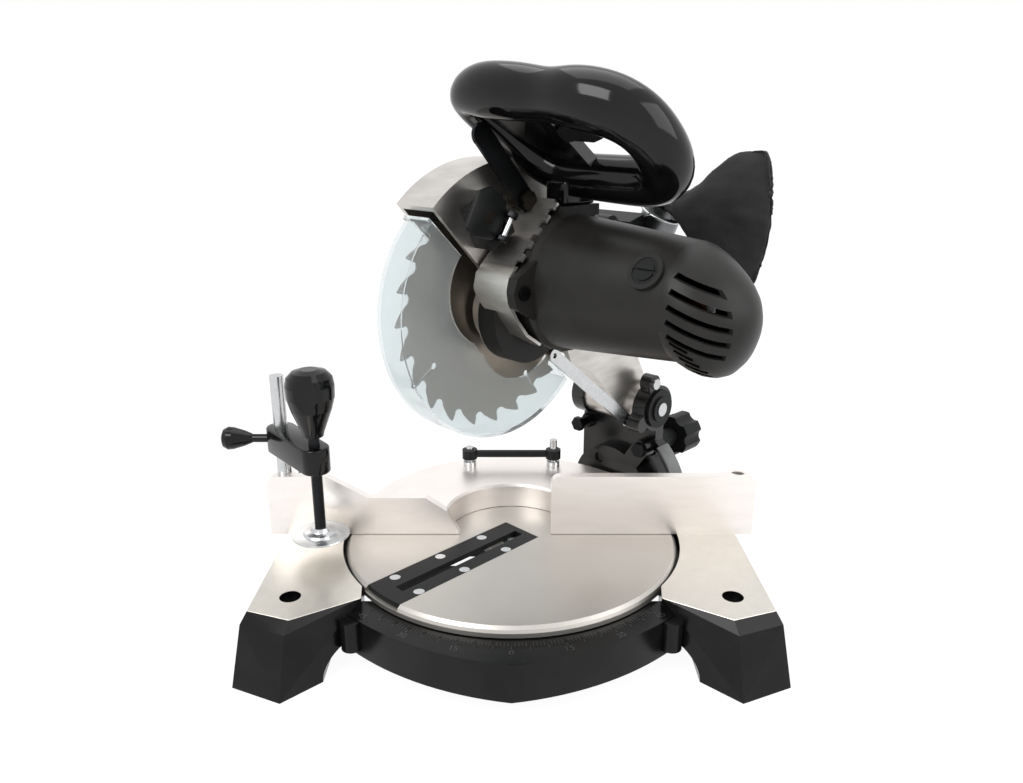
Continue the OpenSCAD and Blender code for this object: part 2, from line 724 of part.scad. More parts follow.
module head_casting() color(cast) swung() difference() {
    union() {
        along_x(case_far, case_near) translate(hub) sector(upper_in, upper_out, case_from, case_to);
        along_x(case_near - case_wall, case_near) translate(hub) {
            sector(0, upper_out, case_from, case_to);
            circle(r = arbor_boss_r + 6);
        }
        along_x(case_far, case_far + case_wall) translate(hub) {
            sector(0, upper_out, case_from, case_to);
            circle(r = guard_boss_r + 4);
        }
        bar_x(case_far + 1, far_x + guard_wall + 0.5, hub, guard_boss_r);
        bar_x(6, case_near - 1, hub, arbor_boss_r);
        along_x(case_near - eps, case_back) gearcase_plan();
        difference() {
            along_x(-4, case_near + 2) arm_plan();
            bar_x(-5, case_near - case_wall, hub, upper_in + eps, $fn = 180);
        }
        bar_x(-barrel_x, barrel_x, pivot, barrel_r);
    }
    bar_x(-barrel_x - 1, barrel_x + 1, pivot, chop_pin_r + fit);
    along_x(case_near + 3, case_back - 2.5) translate(hub) circle(r = gear_r + gear_m + 2.2);
    along_x(case_near + 4, case_back + 1) translate(motor) circle(r = gear_m * pinion_n / 2 + 5);
    bar_x(11, case_near + 4, hub, bearing_r + fit);
    bar_x(5, 12, hub, arbor_r + 1.5);
    bar_x(case_far - 1, far_x + guard_wall + 1, hub, guard_boss_r - 6);
    for (a = lug_turns) bar_x(case_back - 14, case_back + 1, motor + polar(lug_reach, a), 3 + fit);
    bar_x(case_near - 6, case_near + 1, lever_pin, 4 + fit);
}

module motor_housing() color(plastic) swung() difference() {
    union() {
        about_motor() polygon([[ball_r + fit, case_back], [flange_out, case_back],
            [flange_out, motor_x1 - 3], [motor_r, motor_x1], [motor_end_r, motor_x2],
            [motor_end_r - motor_wall, motor_x2],
            [motor_r - motor_wall, motor_x1], [motor_r - motor_wall, case_back + 6],
            [ball_r + 5, case_back + 6], [ball_r + 5, case_back + 9], [ball_r + fit, case_back + 9]]);
        for (a = lug_turns) bar_x(case_back, motor_x1 - 4, motor + polar(lug_reach, a), lug_r);
        along_x(case_back, motor_x1) translate([motor[0] - 18, motor[1] + motor_r - 2])
            square([44, pad_top - motor[1] - motor_r + 2]);
        for (a = brush_turns) brush_place(a, -6) cylinder(r = brush_r + 3.5, h = 8);
    }
    for (a = brush_turns) brush_place(a, -3) cylinder(r = brush_r + fit, h = 9);
    for (a = lug_turns) bar_x(case_back - 1, motor_x1, motor + polar(lug_reach, a), 3 + fit);
}

// Radial seat of a brush cap, off the motor surface
module brush_place(a, off) {
    translate([brush_x, motor[0], motor[1]]) rotate([a, 0, 0])
        translate([0, motor_at(brush_x) + off, 0]) rotate([-90, 0, 0]) children();
}

module motor_cover() color(plastic) swung() difference() {
    about_motor() {
        polygon([[motor_end_r, motor_x2], [motor_end_r, motor_x2 + 3], [motor_end_r - 2, motor_x2 + 12],
            [motor_end_r - 5, motor_x3 - 8], [motor_end_r - 8, motor_x3 - 3], [motor_end_r - 13, motor_x3],
            [0, motor_x3], [0, motor_x3 - motor_wall], [motor_end_r - 14, motor_x3 - motor_wall],
            [motor_end_r - 9, motor_x3 - 9], [motor_end_r - motor_wall, motor_x2 + 4],
            [motor_end_r - motor_wall, motor_x2]]);
        translate([ball_r + fit, motor_x3 - 15]) square([4, 13]);
    }
    for (k = [-1:3]) translate([motor_x2 + 6, motor[0] - motor_end_r - 1, motor[1] + vent_step * k - 1.7])
        cube([cover_l, motor_end_r - 17, 3.4]);
    for (k = [0:4]) rotate_on_motor(228 + 11 * k) translate([motor_x2 + 6, 0, motor_end_r - 12])
        translate([0, -1.6, 0]) cube([14, 3.2, 16]);
}

// Turn a piece about the motor axis, from straight up
module rotate_on_motor(a) {
    translate([0, motor[0], motor[1]]) rotate([a - 90, 0, 0]) children();
}

module motor_screws() color(steel) swung() {
    for (a = lug_turns) difference() {
        union() {
            bar_x(case_back - 13, motor_x1 - 4 + eps, motor + polar(lug_reach, a), 3);
            bar_x(motor_x1 - 4, motor_x1 + 1, motor + polar(lug_reach, a), 5.5);
        }
        translate([motor_x1 - 1, motor[0], motor[1]] + [0, lug_reach * cos(a), lug_reach * sin(a)])
            rotate([0, 90, 0]) cylinder(r = 2.6, h = 4, $fn = 6);
    }
}

module brush_caps() color("#101112") swung() {
    for (a = brush_turns) brush_place(a, -3) difference() {
        union() {
            cylinder(r = brush_r, h = 4.5);
            cylinder(r = brush_r - 3, h = 5.5);
        }
        translate([-brush_r, -1, 4]) cube([2 * brush_r, 2, 3]);
    }
}

module stator() color("#7d5a3a") swung() {
    about_motor() polygon([[27, stator_x[0]], [motor_at(stator_x[1]) - motor_wall - 0.3, stator_x[0]],
        [motor_at(stator_x[1]) - motor_wall - 0.3, stator_x[1]], [27, stator_x[1]]]);
}

module bearings() color(steel) swung() {
    difference() {
        bar_x(11, 20, hub, bearing_r);
        bar_x(10, 21, hub, arbor_r + fit);
    }
    about_motor() {
        translate([shaft_r + fit, case_back]) square([ball_r - shaft_r - fit, 8]);
        translate([shaft_r + fit, motor_x3 - 15]) square([ball_r - shaft_r - fit, 8]);
    }
}

// Frame of the D-handle: its lower bar along X, its loop rising along Z
module on_handle() {
    translate([handle_x, handle_low[0], handle_low[1]]) rotate([handle_lean, 0, 0]) children();
}

// Straight bar of the handle loop
module loop_bar(a, b) {
    d = b - a;
    translate([a[0], 0, a[1]]) rotate([0, atan2(d[0], d[1]), 0]) cylinder(r = bar_r, h = norm(d));
}

// Quarter bend of the handle loop round a centre, from angle a
module loop_bend(at, a) {
    translate([at[0], 0, at[1]]) rotate([90, 0, 0]) rotate([0, 0, a])
        rotate_extrude(angle = 90) translate([corner_r, 0]) circle(r = bar_r);
}

module handle_loop() {
    right = half_run - corner_r;
    low_left = [-24, 0];
    high_left = [-half_run + 12, handle_gap];
    loop_bar(low_left, [right, 0]);
    loop_bar(low_left, high_left);
    for (p = [low_left, high_left]) translate([p[0], 0, p[1]]) sphere(r = bar_r + 0.6);
    loop_bend([right, corner_r], 270);
    loop_bend([right, handle_gap - corner_r], 0);
    loop_bar([half_run, corner_r], [half_run, handle_gap - corner_r]);
    translate([high_left[0], 0, handle_gap]) rotate([0, 90, 0]) rotate_extrude()
        polygon(concat([[0, 0]], [for (i = [0:8]) [bar_r + swell * (1 - pow(i / 4 - 1, 2)),
            (right - high_left[0]) * i / 8]], [[0, right - high_left[0]]]));
}

module handle() color(plastic) swung() difference() {
    union() {
        on_handle() handle_loop();
        along_x(case_back + 1, motor_x1 - 1) translate([motor[0] - 14, pad_top])
            square([36, handle_low[1] - pad_top]);
    }
    translate([case_back - 20, motor[0] - 60, pad_top - 40]) cube([motor_x1 - case_back + 21, 120, 40]);
    bar_x(case_far - 10, case_near + gap, hub, upper_out + gap, $fn = 180);
    on_handle() translate([0, 0, handle_gap - bar_r]) {
        translate([trigger_x[0] - 1, -trigger_half - 0.5, -swell - 3])
            cube([trigger_x[1] - trigger_x[0] + 2, 2 * trigger_half + 1, swell + 16]);
        translate([5.7, -6.3, 12]) cube([24.6, 12.6, 13.3]);
        translate([trigger_x[1] - 7, -trigger_half - 4.5, 4]) rotate([-90, 0, 0])
            cylinder(r = 2.5 + fit, h = 2 * trigger_half + 9);
    }
}

module switch_block() color(black) swung() on_handle() {
    translate([6, -6, handle_gap - bar_r + 13.2]) cube([24, 12, 11.8]);
}

module trigger() color(black) swung() on_handle() translate([0, 0, handle_gap - bar_r]) {
    rotate([90, 0, 0]) translate([0, 0, -trigger_half]) linear_extrude(2 * trigger_half) polygon([
        [trigger_x[0], -4], [trigger_x[0] + 3, -trigger_drop], [trigger_x[0] + 12, -trigger_drop + 2],
        [trigger_x[1] - 16, -trigger_drop + 1], [trigger_x[1] - 6, -4], [trigger_x[1] - 4, 4],
        [trigger_x[1] - 7, 7], [trigger_x[0] + 4, 5], [trigger_x[0], 3]]);
    translate([trigger_x[1] - 7, -trigger_half - 4, 4]) rotate([-90, 0, 0])
        cylinder(r = 2.5, h = 2 * trigger_half + 8);
}

module latch_block() color(black) swung() difference() {
    along_x(case_near, latch_x) translate(hub) rotate(latch_turn) translate([latch_r[0], -latch_half])
        square([latch_r[1] - latch_r[0], 2 * latch_half]);
    along_x(latch_x - 8, latch_x + 1) translate(hub) rotate(latch_turn)
        translate([latch_r[0] + 6, -latch_half + 6]) square([latch_r[1] - latch_r[0] - 12, latch_half]);
    bar_x(case_near - 1, latch_x + 1, hub + polar(latch_r[1] - 8, latch_turn + 4), screw_r + fit);
}

module latch_bolt() color("#c79a3a") swung() {
    bar_x(case_near - 5, lever_x[1] + 4, lever_pin, 4);
    bar_x(case_near, lever_x[0] - gap, lever_pin, 7.5);
    bar_x(lever_x[1] + gap, lever_x[1] + 4, lever_pin, 7.5);
    bar_x(case_near + 1, latch_x + eps, hub + polar(latch_r[1] - 8, latch_turn + 4), screw_r);
    bar_x(latch_x, latch_x + 3, hub + polar(latch_r[1] - 8, latch_turn + 4), 2 * screw_r);
}

module release_lever() color(steel) swung() difference() {
    along_x(lever_x[0], lever_x[1]) strip(lever_pin, lever_tip, 9);
    bar_x(lever_x[0] - 1, lever_x[1] + 1, lever_pin, 4 + fit);
}

// Pieces that stand round the dust tube, drawn with its foot at the origin
module on_tube() {
    d = tube_high - tube_low;
    translate(tube_low) rotate([0, atan2(d[0], d[2]), 0]) children();
}

module dust_chute() color(plastic) swung() difference() {
    union() {
        along_x(-10, 64) polygon([hub + polar(upper_out - 4, 15), hub + polar(upper_out - 4, 34),
            hub + [126, 74], hub + [158, 68], hub + [162, 34], hub + [148, 22]]);
        on_tube() cylinder(r = tube_r, h = tube_l);
    }
    bar_x(-12, 70, hub, upper_out + fit, $fn = 180);
    translate([-6, hub[0] + 130, hub[1] + 34]) cube([66, 24, 30]);
    on_tube() translate([0, 0, 4]) cylinder(r = tube_r - tube_wall, h = tube_l);
}

module dust_clip() color(steel) swung() on_tube() {
    translate([0, 0, clip_z]) rotate_extrude() translate([tube_r + 1.7, 0]) circle(r = 1.4, $fn = 24);
    translate([0, -tube_r - 1.7, clip_z]) rotate([90, 0, 0]) cylinder(r = 1.4, h = 8, $fn = 24);
}

module bag_blob(i) {
    p = bag_blobs[i];
    translate([p[0], hub[0] + p[1], hub[1] + p[2]]) sphere(r = p[3], $fn = 28);
}

module dust_bag() color("#1b1c1d") swung() {
    hull() {
        on_tube() translate([0, 0, tube_l + 0.3]) cylinder(r = tube_r + 3, h = 5, $fn = 32);
        bag_blob(0);
    }
    hull() for (i = [0:len(bag_blobs) - 1]) bag_blob(i);
}

module blade() color(steel) swung() difference() {
    along_x(-blade_t / 2, blade_t / 2) translate(hub) difference() {
        polygon([for (k = [0:teeth - 1], p = tooth) polar(blade_r - p[0], 360 / teeth * (k + p[1]))]);
        circle(r = arbor_r + fit);
        for (k = [0:3]) rotate(90 * k + 30) translate([blade_r - 24, -0.8]) square([16, 1.6]);
        for (k = [0:3]) rotate(90 * k + 30) translate([blade_r - 25, 0]) circle(r = 3);
    }
}

module arbor() color(steel) swung() {
    bar_x(-5.5, gear_x1 + 3, hub, arbor_r);
    bar_x(blade_t / 2 + 4.5 + fit, 10.5, hub, arbor_r + 1);
}

module flanges() color("#83868a") swung() difference() {
    union() {
        bar_x(blade_t / 2 + fit, blade_t / 2 + 4.5, hub, flange_r);
        bar_x(-blade_t / 2 - 4.5, -blade_t / 2 - fit, hub, flange_r);
    }
    bar_x(-8, 8, hub, arbor_r + fit);
}

module arbor_bolt() color(black) swung() difference() {
    union() {
        bar_x(-8, -blade_t / 2 - 4.5 - fit, hub, arbor_r + 5);
        translate([-13.5, hub[0], hub[1]]) rotate([0, 90, 0]) cylinder(r = arbor_r + 1, h = 6, $fn = 6);
    }
    bar_x(-6, 0, hub, arbor_r + fit);
}

// Spur gear outline with slim teeth
module spur(n, r_bore) {
    r = gear_m * n / 2;
    difference() {
        polygon([for (k = [0:n - 1], p = [[-1.2, -0.36], [-1.2, -0.32], [-0.1, -0.2], [0.95, -0.09],
            [0.95, 0.09], [-0.1, 0.2], [-1.2, 0.32]]) polar(r + p[0] * gear_m, 360 / n * (k + p[1]))]);
        circle(r = r_bore);
    }
}

module driven_gear() color("#9a9a96") swung() {
    along_x(gear_x0, gear_x1) translate(hub) rotate(motor_lean) spur(gear_n, arbor_r + fit);
}

module pinion() color("#9a9a96") swung() {
    along_x(gear_x0 - 1, gear_x1 + 1) translate(motor) rotate(motor_lean + 180 + 180 / pinion_n)
        spur(pinion_n, shaft_nose_r + fit);
}

module armature() color("#a56b3f") swung() {
    bar_x(gear_x0 - 1, case_back - 2, motor, shaft_nose_r);
    bar_x(case_back - 2 - eps, motor_x3 - 7, motor, shaft_r);
    bar_x(stator_x[0], stator_x[1], motor, 26);
    bar_x(stator_x[1] + 6, stator_x[1] + 24, motor, 14);
    bar_x(stator_x[0] - 9, stator_x[1] + 6, motor, 20);
}

module fan() color(black) swung() translate([0, motor[0], motor[1]]) rotate([0, 90, 0]) difference() {
    union() {
        translate([0, 0, 62]) cylinder(r = 42, h = 3);
        translate([0, 0, 62]) cylinder(r = 11, h = 13);
        for (k = [0:8]) rotate(40 * k) translate([10, -1.2, 64]) cube([31, 2.4, 10]);
    }
    cylinder(r = shaft_r + fit, h = 100);
}

// Edge of the near side of the lower guard round the arbor
module guard_window() {
    for (a = [130, 60, 0, -45]) rotate(a) translate([24, 0]) circle(r = 48);
    circle(r = 45);
}

module lower_guard() color("#55575a") swung() difference() {
    union() {
        along_x(far_x, near_x) translate(hub) {
            sector(lower_in, lower_out, guard_from, guard_to);
            sector(lower_in, lower_out + lip, guard_from, guard_from + 1.5);
        }
        along_x(far_x, far_x + guard_wall) translate(hub) {
            sector(0, lower_out, guard_from, guard_to);
            circle(r = guard_boss_r + 8);
        }
        along_x(near_x - guard_wall, near_x) translate(hub) difference() {
            sector(0, lower_out, guard_from, guard_to);
            guard_window();
        }
    }
    bar_x(far_x - 1, far_x + guard_wall + 1, hub, guard_boss_r + fit);
}

module guard_link() color(steel) swung() difference() {
    along_x(link_x0, link_x1) {
        strip(link_pin, link_end, 6);
        translate(link_pin) circle(r = 6.5);
    }
    bar_x(link_x0 - 1, link_x1 + 1, link_pin, link_pin_r + fit);
    bar_x(link_x0 - 1, link_x1 + 1, link_end, 2.5);
}

module clamp_rod() color(steel) bar_z(rod_z0, table_h + rod_up, rod_at, rod_r);

module clamp_arm() color(black) difference() {
    d = spin_at - rod_at;
    union() {
        bar_z(arm_z0, arm_z1, rod_at, 14);
        bar_z(arm_z0 + 3, arm_z1 - 1, spin_at, 12);
        translate([rod_at[0], rod_at[1], arm_z0 + 4]) rotate([0, 0, atan2(d[1], d[0])])
            translate([0, -7, 0]) cube([norm(d), 14, arm_z1 - arm_z0 - 8]);
        bar_x(rod_at[0] - 19, rod_at[0], [rod_at[1], lock_z], 8);
    }
    bar_z(arm_z0 - 1, arm_z1 + 1, rod_at, rod_r + fit);
    bar_z(arm_z0 - 1, arm_z1 + 1, spin_at, spindle_r + fit);
    bar_x(rod_at[0] - 20, rod_at[0], [rod_at[1], lock_z], lock_r + fit);
}

module clamp_lock() color(plastic) translate([rod_at[0] - 19, rod_at[1], lock_z]) rotate([0, -90, 0])
    rotate_extrude() polygon([[0, rod_r - 18], [lock_r, rod_r - 18], [lock_r, 8], [5, 10], [7.5, 16],
        [10.5, 26], [11, 31], [9, 35], [5, 37], [0, 37.5]]);

module clamp_pad() color(black) difference() {
    union() {
        bar_z(pad_z, pad_z + 5, spin_at, pad_r);
        bar_z(pad_z + 5 - eps, pad_z + pad_h, spin_at, spindle_r + 6);
    }
    bar_z(pad_z + 4, pad_z + pad_h + 1, spin_at, spindle_r + fit);
}

module clamp_spindle() color(steel) {
    bar_z(pad_z + 4.3, knob_z0 + 20, spin_at, spindle_r);
}

module clamp_knob() color(black) difference() {
    translate([spin_at[0], spin_at[1], knob_z0]) rotate_extrude($fn = 120) polygon([[0, 0], [9, 0],
        [10, 4], [18, 25], [21, 36], [21.5, 47], [20, 54], [15, 59], [8, 61], [0, 61]]);
    bar_z(knob_z0 - 1, knob_z0 + 20.5, spin_at, spindle_r + fit);
    for (k = [0:2])
        bar_z(knob_z0 + 6, knob_z1 + 1, spin_at + polar(knob_flute + 18, 120 * k + 30), knob_flute);
}

base();
fence();
fence_screws();
rail_bar();
rail_posts();
socket_screw();
pivot_bolt();
turntable();
kerf_insert();
insert_screws();
tilt_plate();
tilt_bolts();
tilt_pin();
tilt_stud();
tilt_knob();
tilt_housing();
tilt_scale();
stop_screw();
chop_pin();
hub_caps();
head_casting();
motor_housing();
motor_cover();
motor_screws();
brush_caps();
stator();
bearings();
handle();
switch_block();
latch_block();
latch_bolt();
dust_chute();
dust_clip();
dust_bag();
blade();
arbor();
flanges();
arbor_bolt();
driven_gear();
armature();
pinion();
fan();
lower_guard();
guard_link();
release_lever();
trigger();
clamp_rod();
clamp_arm();
clamp_lock();
clamp_pad();
clamp_spindle();
clamp_knob();
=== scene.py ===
"""Compound mitre saw: finishes, dust bag, handle, scale and stage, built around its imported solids."""

import math

import bpy
import bmesh
from mathutils import Matrix, Vector


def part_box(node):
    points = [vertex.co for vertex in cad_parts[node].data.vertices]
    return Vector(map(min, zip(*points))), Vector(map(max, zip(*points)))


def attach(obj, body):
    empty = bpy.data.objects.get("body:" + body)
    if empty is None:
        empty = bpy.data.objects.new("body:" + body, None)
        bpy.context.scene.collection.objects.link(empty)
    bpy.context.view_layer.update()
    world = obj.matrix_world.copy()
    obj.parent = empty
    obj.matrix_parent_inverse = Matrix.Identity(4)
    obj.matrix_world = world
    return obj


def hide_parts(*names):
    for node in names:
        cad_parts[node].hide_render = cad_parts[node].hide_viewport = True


bl_info = {
    "name": "Mitre Saw Dresser",
    "version": (1, 0, 0),
    "blender": (4, 5, 0),
    "location": "View3D > Sidebar > Mitre Saw",
    "description": "Gives a compound mitre saw its finishes, dust bag, handle, mitre scale and stage",
    "category": "Object",
}

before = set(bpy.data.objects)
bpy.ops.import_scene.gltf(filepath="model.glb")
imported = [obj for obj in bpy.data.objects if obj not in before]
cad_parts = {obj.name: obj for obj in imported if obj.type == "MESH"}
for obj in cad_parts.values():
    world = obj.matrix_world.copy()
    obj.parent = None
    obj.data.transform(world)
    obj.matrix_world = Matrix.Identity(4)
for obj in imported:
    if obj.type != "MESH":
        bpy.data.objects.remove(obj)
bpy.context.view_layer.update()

MM = 0.001
TABLE_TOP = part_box("fence")[0][2]
SCALE_TOP = TABLE_TOP - 10.5 * MM
MITRE = math.radians(-45)
SOFT_EDGE = math.radians(40)

# Blade hub and motor axis in the blade's own frame, in millimetres
HUB_Y, HUB_Z = -22, 228
MOTOR_Y, MOTOR_Z = 5.9, 254

# Camera fitted to the photo: metres, degrees and millimetres of lens and sensor
CAMERA_BACK, CAMERA_UP = 0.730, 0.382
CAMERA_PITCH = 72
CAMERA_LENS, CAMERA_SENSOR = 29.56, 36

# Centres of the clamp's rod and screw, in millimetres
CLAMP_ROD, CLAMP_SCREW = (-217, 11), (-174, -40)


def linear(code):
    """Turn an sRGB hex colour into linear RGBA."""
    parts = [int(code[i:i + 2], 16) / 255 for i in (1, 3, 5)]
    return tuple(c / 12.92 if c <= 0.04045 else ((c + 0.055) / 1.055) ** 2.4 for c in parts) + (1.0,)


def shade(colour, factor, lift=0.0):
    """Scale a linear colour and lift it a little."""
    return tuple(factor * c + lift for c in colour[:3]) + (1.0,)


def turns(count):
    """Return the cosine and sine of even steps round a circle."""
    return [(math.cos(2 * math.pi * k / count), math.sin(2 * math.pi * k / count)) for k in range(count)]


def swung(x, y, z):
    """Place a point of the blade's own frame, in millimetres over the table, in the saw's frame."""
    c, s = math.cos(MITRE), math.sin(MITRE)
    return Vector(((c * x - s * y) * MM, (s * x + c * y) * MM, TABLE_TOP + z * MM))


def held(x, y, z):
    """Place a point of the leaning handle's own frame in the saw's frame."""
    c = math.cos(math.radians(45))
    return swung(80 + x, 15 + c * (y - z), 335 + c * (y + z))


def add(tree, kind, sockets=None, wires=None, **settings):
    """Add one shader node, set it up and wire its inputs."""
    node = tree.nodes.new(kind)
    for key, value in settings.items():
        setattr(node, key, value)
    for key, value in (sockets or {}).items():
        node.inputs[key].default_value = value
    for key, (source, outlet) in (wires or {}).items():
        tree.links.new(source.outputs[outlet], node.inputs[key])
    return node


def find(tree, kind):
    """Return the first node of a kind in a tree."""
    return next(node for node in tree.nodes if node.type == kind)


def start(name):
    """Make an empty material and return it with its tree, shader and object coordinates."""
    material = bpy.data.materials.new(name)
    material.use_nodes = True
    tree = material.node_tree
    tree.nodes.clear()
    shader = add(tree, "ShaderNodeBsdfPrincipled")
    add(tree, "ShaderNodeOutputMaterial", wires={"Surface": (shader, "BSDF")})
    coords = add(tree, "ShaderNodeTexCoord")
    return material, tree, shader, coords


def feed(tree, shader, colours=None, rough=None, bump=None):
    """Wire a colour ramp, a roughness range and a bump into a shader."""
    if colours:
        source, low, high, dark, light = colours
        ramp = add(tree, "ShaderNodeValToRGB", wires={"Fac": source})
        ramp.color_ramp.elements[0].position = low
        ramp.color_ramp.elements[1].position = high
        ramp.color_ramp.elements[0].color = dark
        ramp.color_ramp.elements[1].color = light
        tree.links.new(ramp.outputs["Color"], shader.inputs["Base Color"])
    if rough:
        source, low, high = rough
        spread = add(tree, "ShaderNodeMapRange", {"To Min": low, "To Max": high}, {"Value": source})
        tree.links.new(spread.outputs["Result"], shader.inputs["Roughness"])
    if bump:
        source, strength, depth = bump
        bend = add(tree, "ShaderNodeBump", {"Strength": strength, "Distance": depth * MM}, {"Height": source})
        tree.links.new(bend.outputs["Normal"], shader.inputs["Normal"])


def painted_casting(name, base, shine):
    """Satin black enamel on a sand casting: soft highlights over a faintly grainy skin."""
    material, tree, shader, coords = start(name)
    grain = add(tree, "ShaderNodeTexNoise", {"Scale": 700, "Detail": 4}, {"Vector": (coords, "Object")})
    cloud = add(tree, "ShaderNodeTexNoise", {"Scale": 30, "Detail": 3}, {"Vector": (coords, "Object")})
    feed(tree, shader, ((cloud, "Fac"), 0.35, 0.7, base, shade(base, 1.7, 0.002)), ((cloud, "Fac"), 0.14, 0.28),
         ((grain, "Fac"), 0.1, 0.3))
    shader.inputs["Specular IOR Level"].default_value = shine
    return material


def moulded_plastic(name, base, rough, grain_depth, shine):
    """Moulded ABS: even colour, its gloss set by the mould's own texture."""
    material, tree, shader, coords = start(name)
    grain = add(tree, "ShaderNodeTexVoronoi", {"Scale": 900}, {"Vector": (coords, "Object")})
    cloud = add(tree, "ShaderNodeTexNoise", {"Scale": 22, "Detail": 3}, {"Vector": (coords, "Object")})
    feed(tree, shader, ((cloud, "Fac"), 0.35, 0.7, base, shade(base, 1.5, 0.002)),
         ((cloud, "Fac"), 0.8 * rough, 1.25 * rough), ((grain, "Distance"), 0.15, grain_depth))
    shader.inputs["Specular IOR Level"].default_value = shine
    return material


def cast_alloy(name, base, rough, streak):
    """Bare die-cast aluminium: a soft grey metal with a blasted, slightly cloudy skin."""
    material, tree, shader, coords = start(name)
    grain = add(tree, "ShaderNodeTexNoise", {"Scale": 900, "Detail": 5}, {"Vector": (coords, "Object")})
    place = add(tree, "ShaderNodeMapping", {"Scale": (1, 1, 5), "Rotation": (0, math.radians(30), 0)},
                {"Vector": (coords, "Object")})
    cloud = add(tree, "ShaderNodeTexNoise", {"Scale": 26, "Detail": 4}, {"Vector": (place, "Vector")})
    feed(tree, shader, ((cloud, "Fac"), 0.3, 0.7, shade(base, streak), base),
         ((grain, "Fac"), 0.9 * rough, 1.1 * rough), ((grain, "Fac"), 0.2, 0.25))
    shader.inputs["Metallic"].default_value = 0.95
    return material


def turned_alloy(name, base, centre, rough):
    """Faced aluminium: fine lathe rings round a centre that catch the light as a fan."""
    material, tree, shader, coords = start(name)
    place = add(tree, "ShaderNodeMapping", {"Location": tuple(-c for c in centre)},
                {"Vector": (coords, "Object")})
    rings = add(tree, "ShaderNodeTexWave", {"Scale": 320, "Distortion": 0.6, "Detail": 2},
                {"Vector": (place, "Vector")}, wave_type="RINGS", rings_direction="SPHERICAL")
    cloud = add(tree, "ShaderNodeTexNoise", {"Scale": 18, "Detail": 4}, {"Vector": (coords, "Object")})
    feed(tree, shader, ((cloud, "Fac"), 0.3, 0.7, shade(base, 0.92), base),
         ((cloud, "Fac"), 0.9 * rough, 1.1 * rough), ((rings, "Fac"), 0.12, 0.1))
    shader.inputs["Metallic"].default_value = 0.85
    return material


def plated_steel(name, base, rough):
    """Zinc-plated steel: bright, a little blue, with the streaks of drawn bar."""
    material, tree, shader, coords = start(name)
    streak = add(tree, "ShaderNodeTexNoise", {"Scale": 260, "Detail": 3}, {"Vector": (coords, "Object")})
    feed(tree, shader, ((streak, "Fac"), 0.3, 0.7, shade(base, 0.9), base),
         ((streak, "Fac"), 0.85 * rough, 1.15 * rough), ((streak, "Fac"), 0.05, 0.05))
    shader.inputs["Metallic"].default_value = 1.0
    return material


def clear_guard(name, base):
    """Clear polycarbonate: pale blue at its edges, with faint handling haze."""
    material, tree, shader, coords = start(name)
    haze = add(tree, "ShaderNodeTexNoise", {"Scale": 24, "Detail": 4}, {"Vector": (coords, "Object")})
    feed(tree, shader, None, ((haze, "Fac"), 0.02, 0.1))
    shader.inputs["Base Color"].default_value = base
    shader.inputs["Transmission Weight"].default_value = 0.88
    shader.inputs["IOR"].default_value = 1.16
    return material


def woven_cloth(name, base):
    """Woven polyester: a plain weave about a millimetre a thread, matte with a soft sheen."""
    material, tree, shader, coords = start(name)
    warp = add(tree, "ShaderNodeTexWave", {"Scale": 320, "Distortion": 0.4}, {"Vector": (coords, "Object")},
               bands_direction="X")
    weft = add(tree, "ShaderNodeTexWave", {"Scale": 320, "Distortion": 0.4}, {"Vector": (coords, "Object")},
               bands_direction="Z")
    weave = add(tree, "ShaderNodeMath", wires={0: (warp, "Fac"), 1: (weft, "Fac")}, operation="MULTIPLY")
    cloud = add(tree, "ShaderNodeTexNoise", {"Scale": 30, "Detail": 4}, {"Vector": (coords, "Object")})
    feed(tree, shader, ((cloud, "Fac"), 0.3, 0.75, base, shade(base, 2.0, 0.004)), ((weave, "Value"), 0.75, 0.95),
         ((weave, "Value"), 0.35, 0.35))
    shader.inputs["Sheen Weight"].default_value = 0.08
    shader.inputs["Sheen Roughness"].default_value = 0.5
    return material


def table_casting(name, paint, bare):
    """The base casting: black enamel, with its table tops milled back to bare aluminium."""
    material = painted_casting(name, paint, 0.2)
    tree = material.node_tree
    enamel, coords, outlet = (find(tree, kind) for kind in ("BSDF_PRINCIPLED", "TEX_COORD", "OUTPUT_MATERIAL"))
    lines = add(tree, "ShaderNodeTexNoise", {"Scale": 120, "Detail": 4}, {"Vector": (coords, "Object")})
    milled = add(tree, "ShaderNodeBsdfPrincipled", {"Metallic": 0.85})
    feed(tree, milled, ((lines, "Fac"), 0.3, 0.7, shade(bare, 0.94), bare),
         ((lines, "Fac"), 0.32, 0.4), ((lines, "Fac"), 0.06, 0.06))
    split = add(tree, "ShaderNodeSeparateXYZ", wires={"Vector": (coords, "Object")})
    top = add(tree, "ShaderNodeMath", {1: TABLE_TOP - 0.3 * MM}, {0: (split, "Z")}, operation="GREATER_THAN")
    both = add(tree, "ShaderNodeMixShader", wires={"Fac": (top, "Value"), 1: (enamel, "BSDF"),
                                                   2: (milled, "BSDF")})
    tree.links.new(both.outputs["Shader"], outlet.inputs["Surface"])
    return material


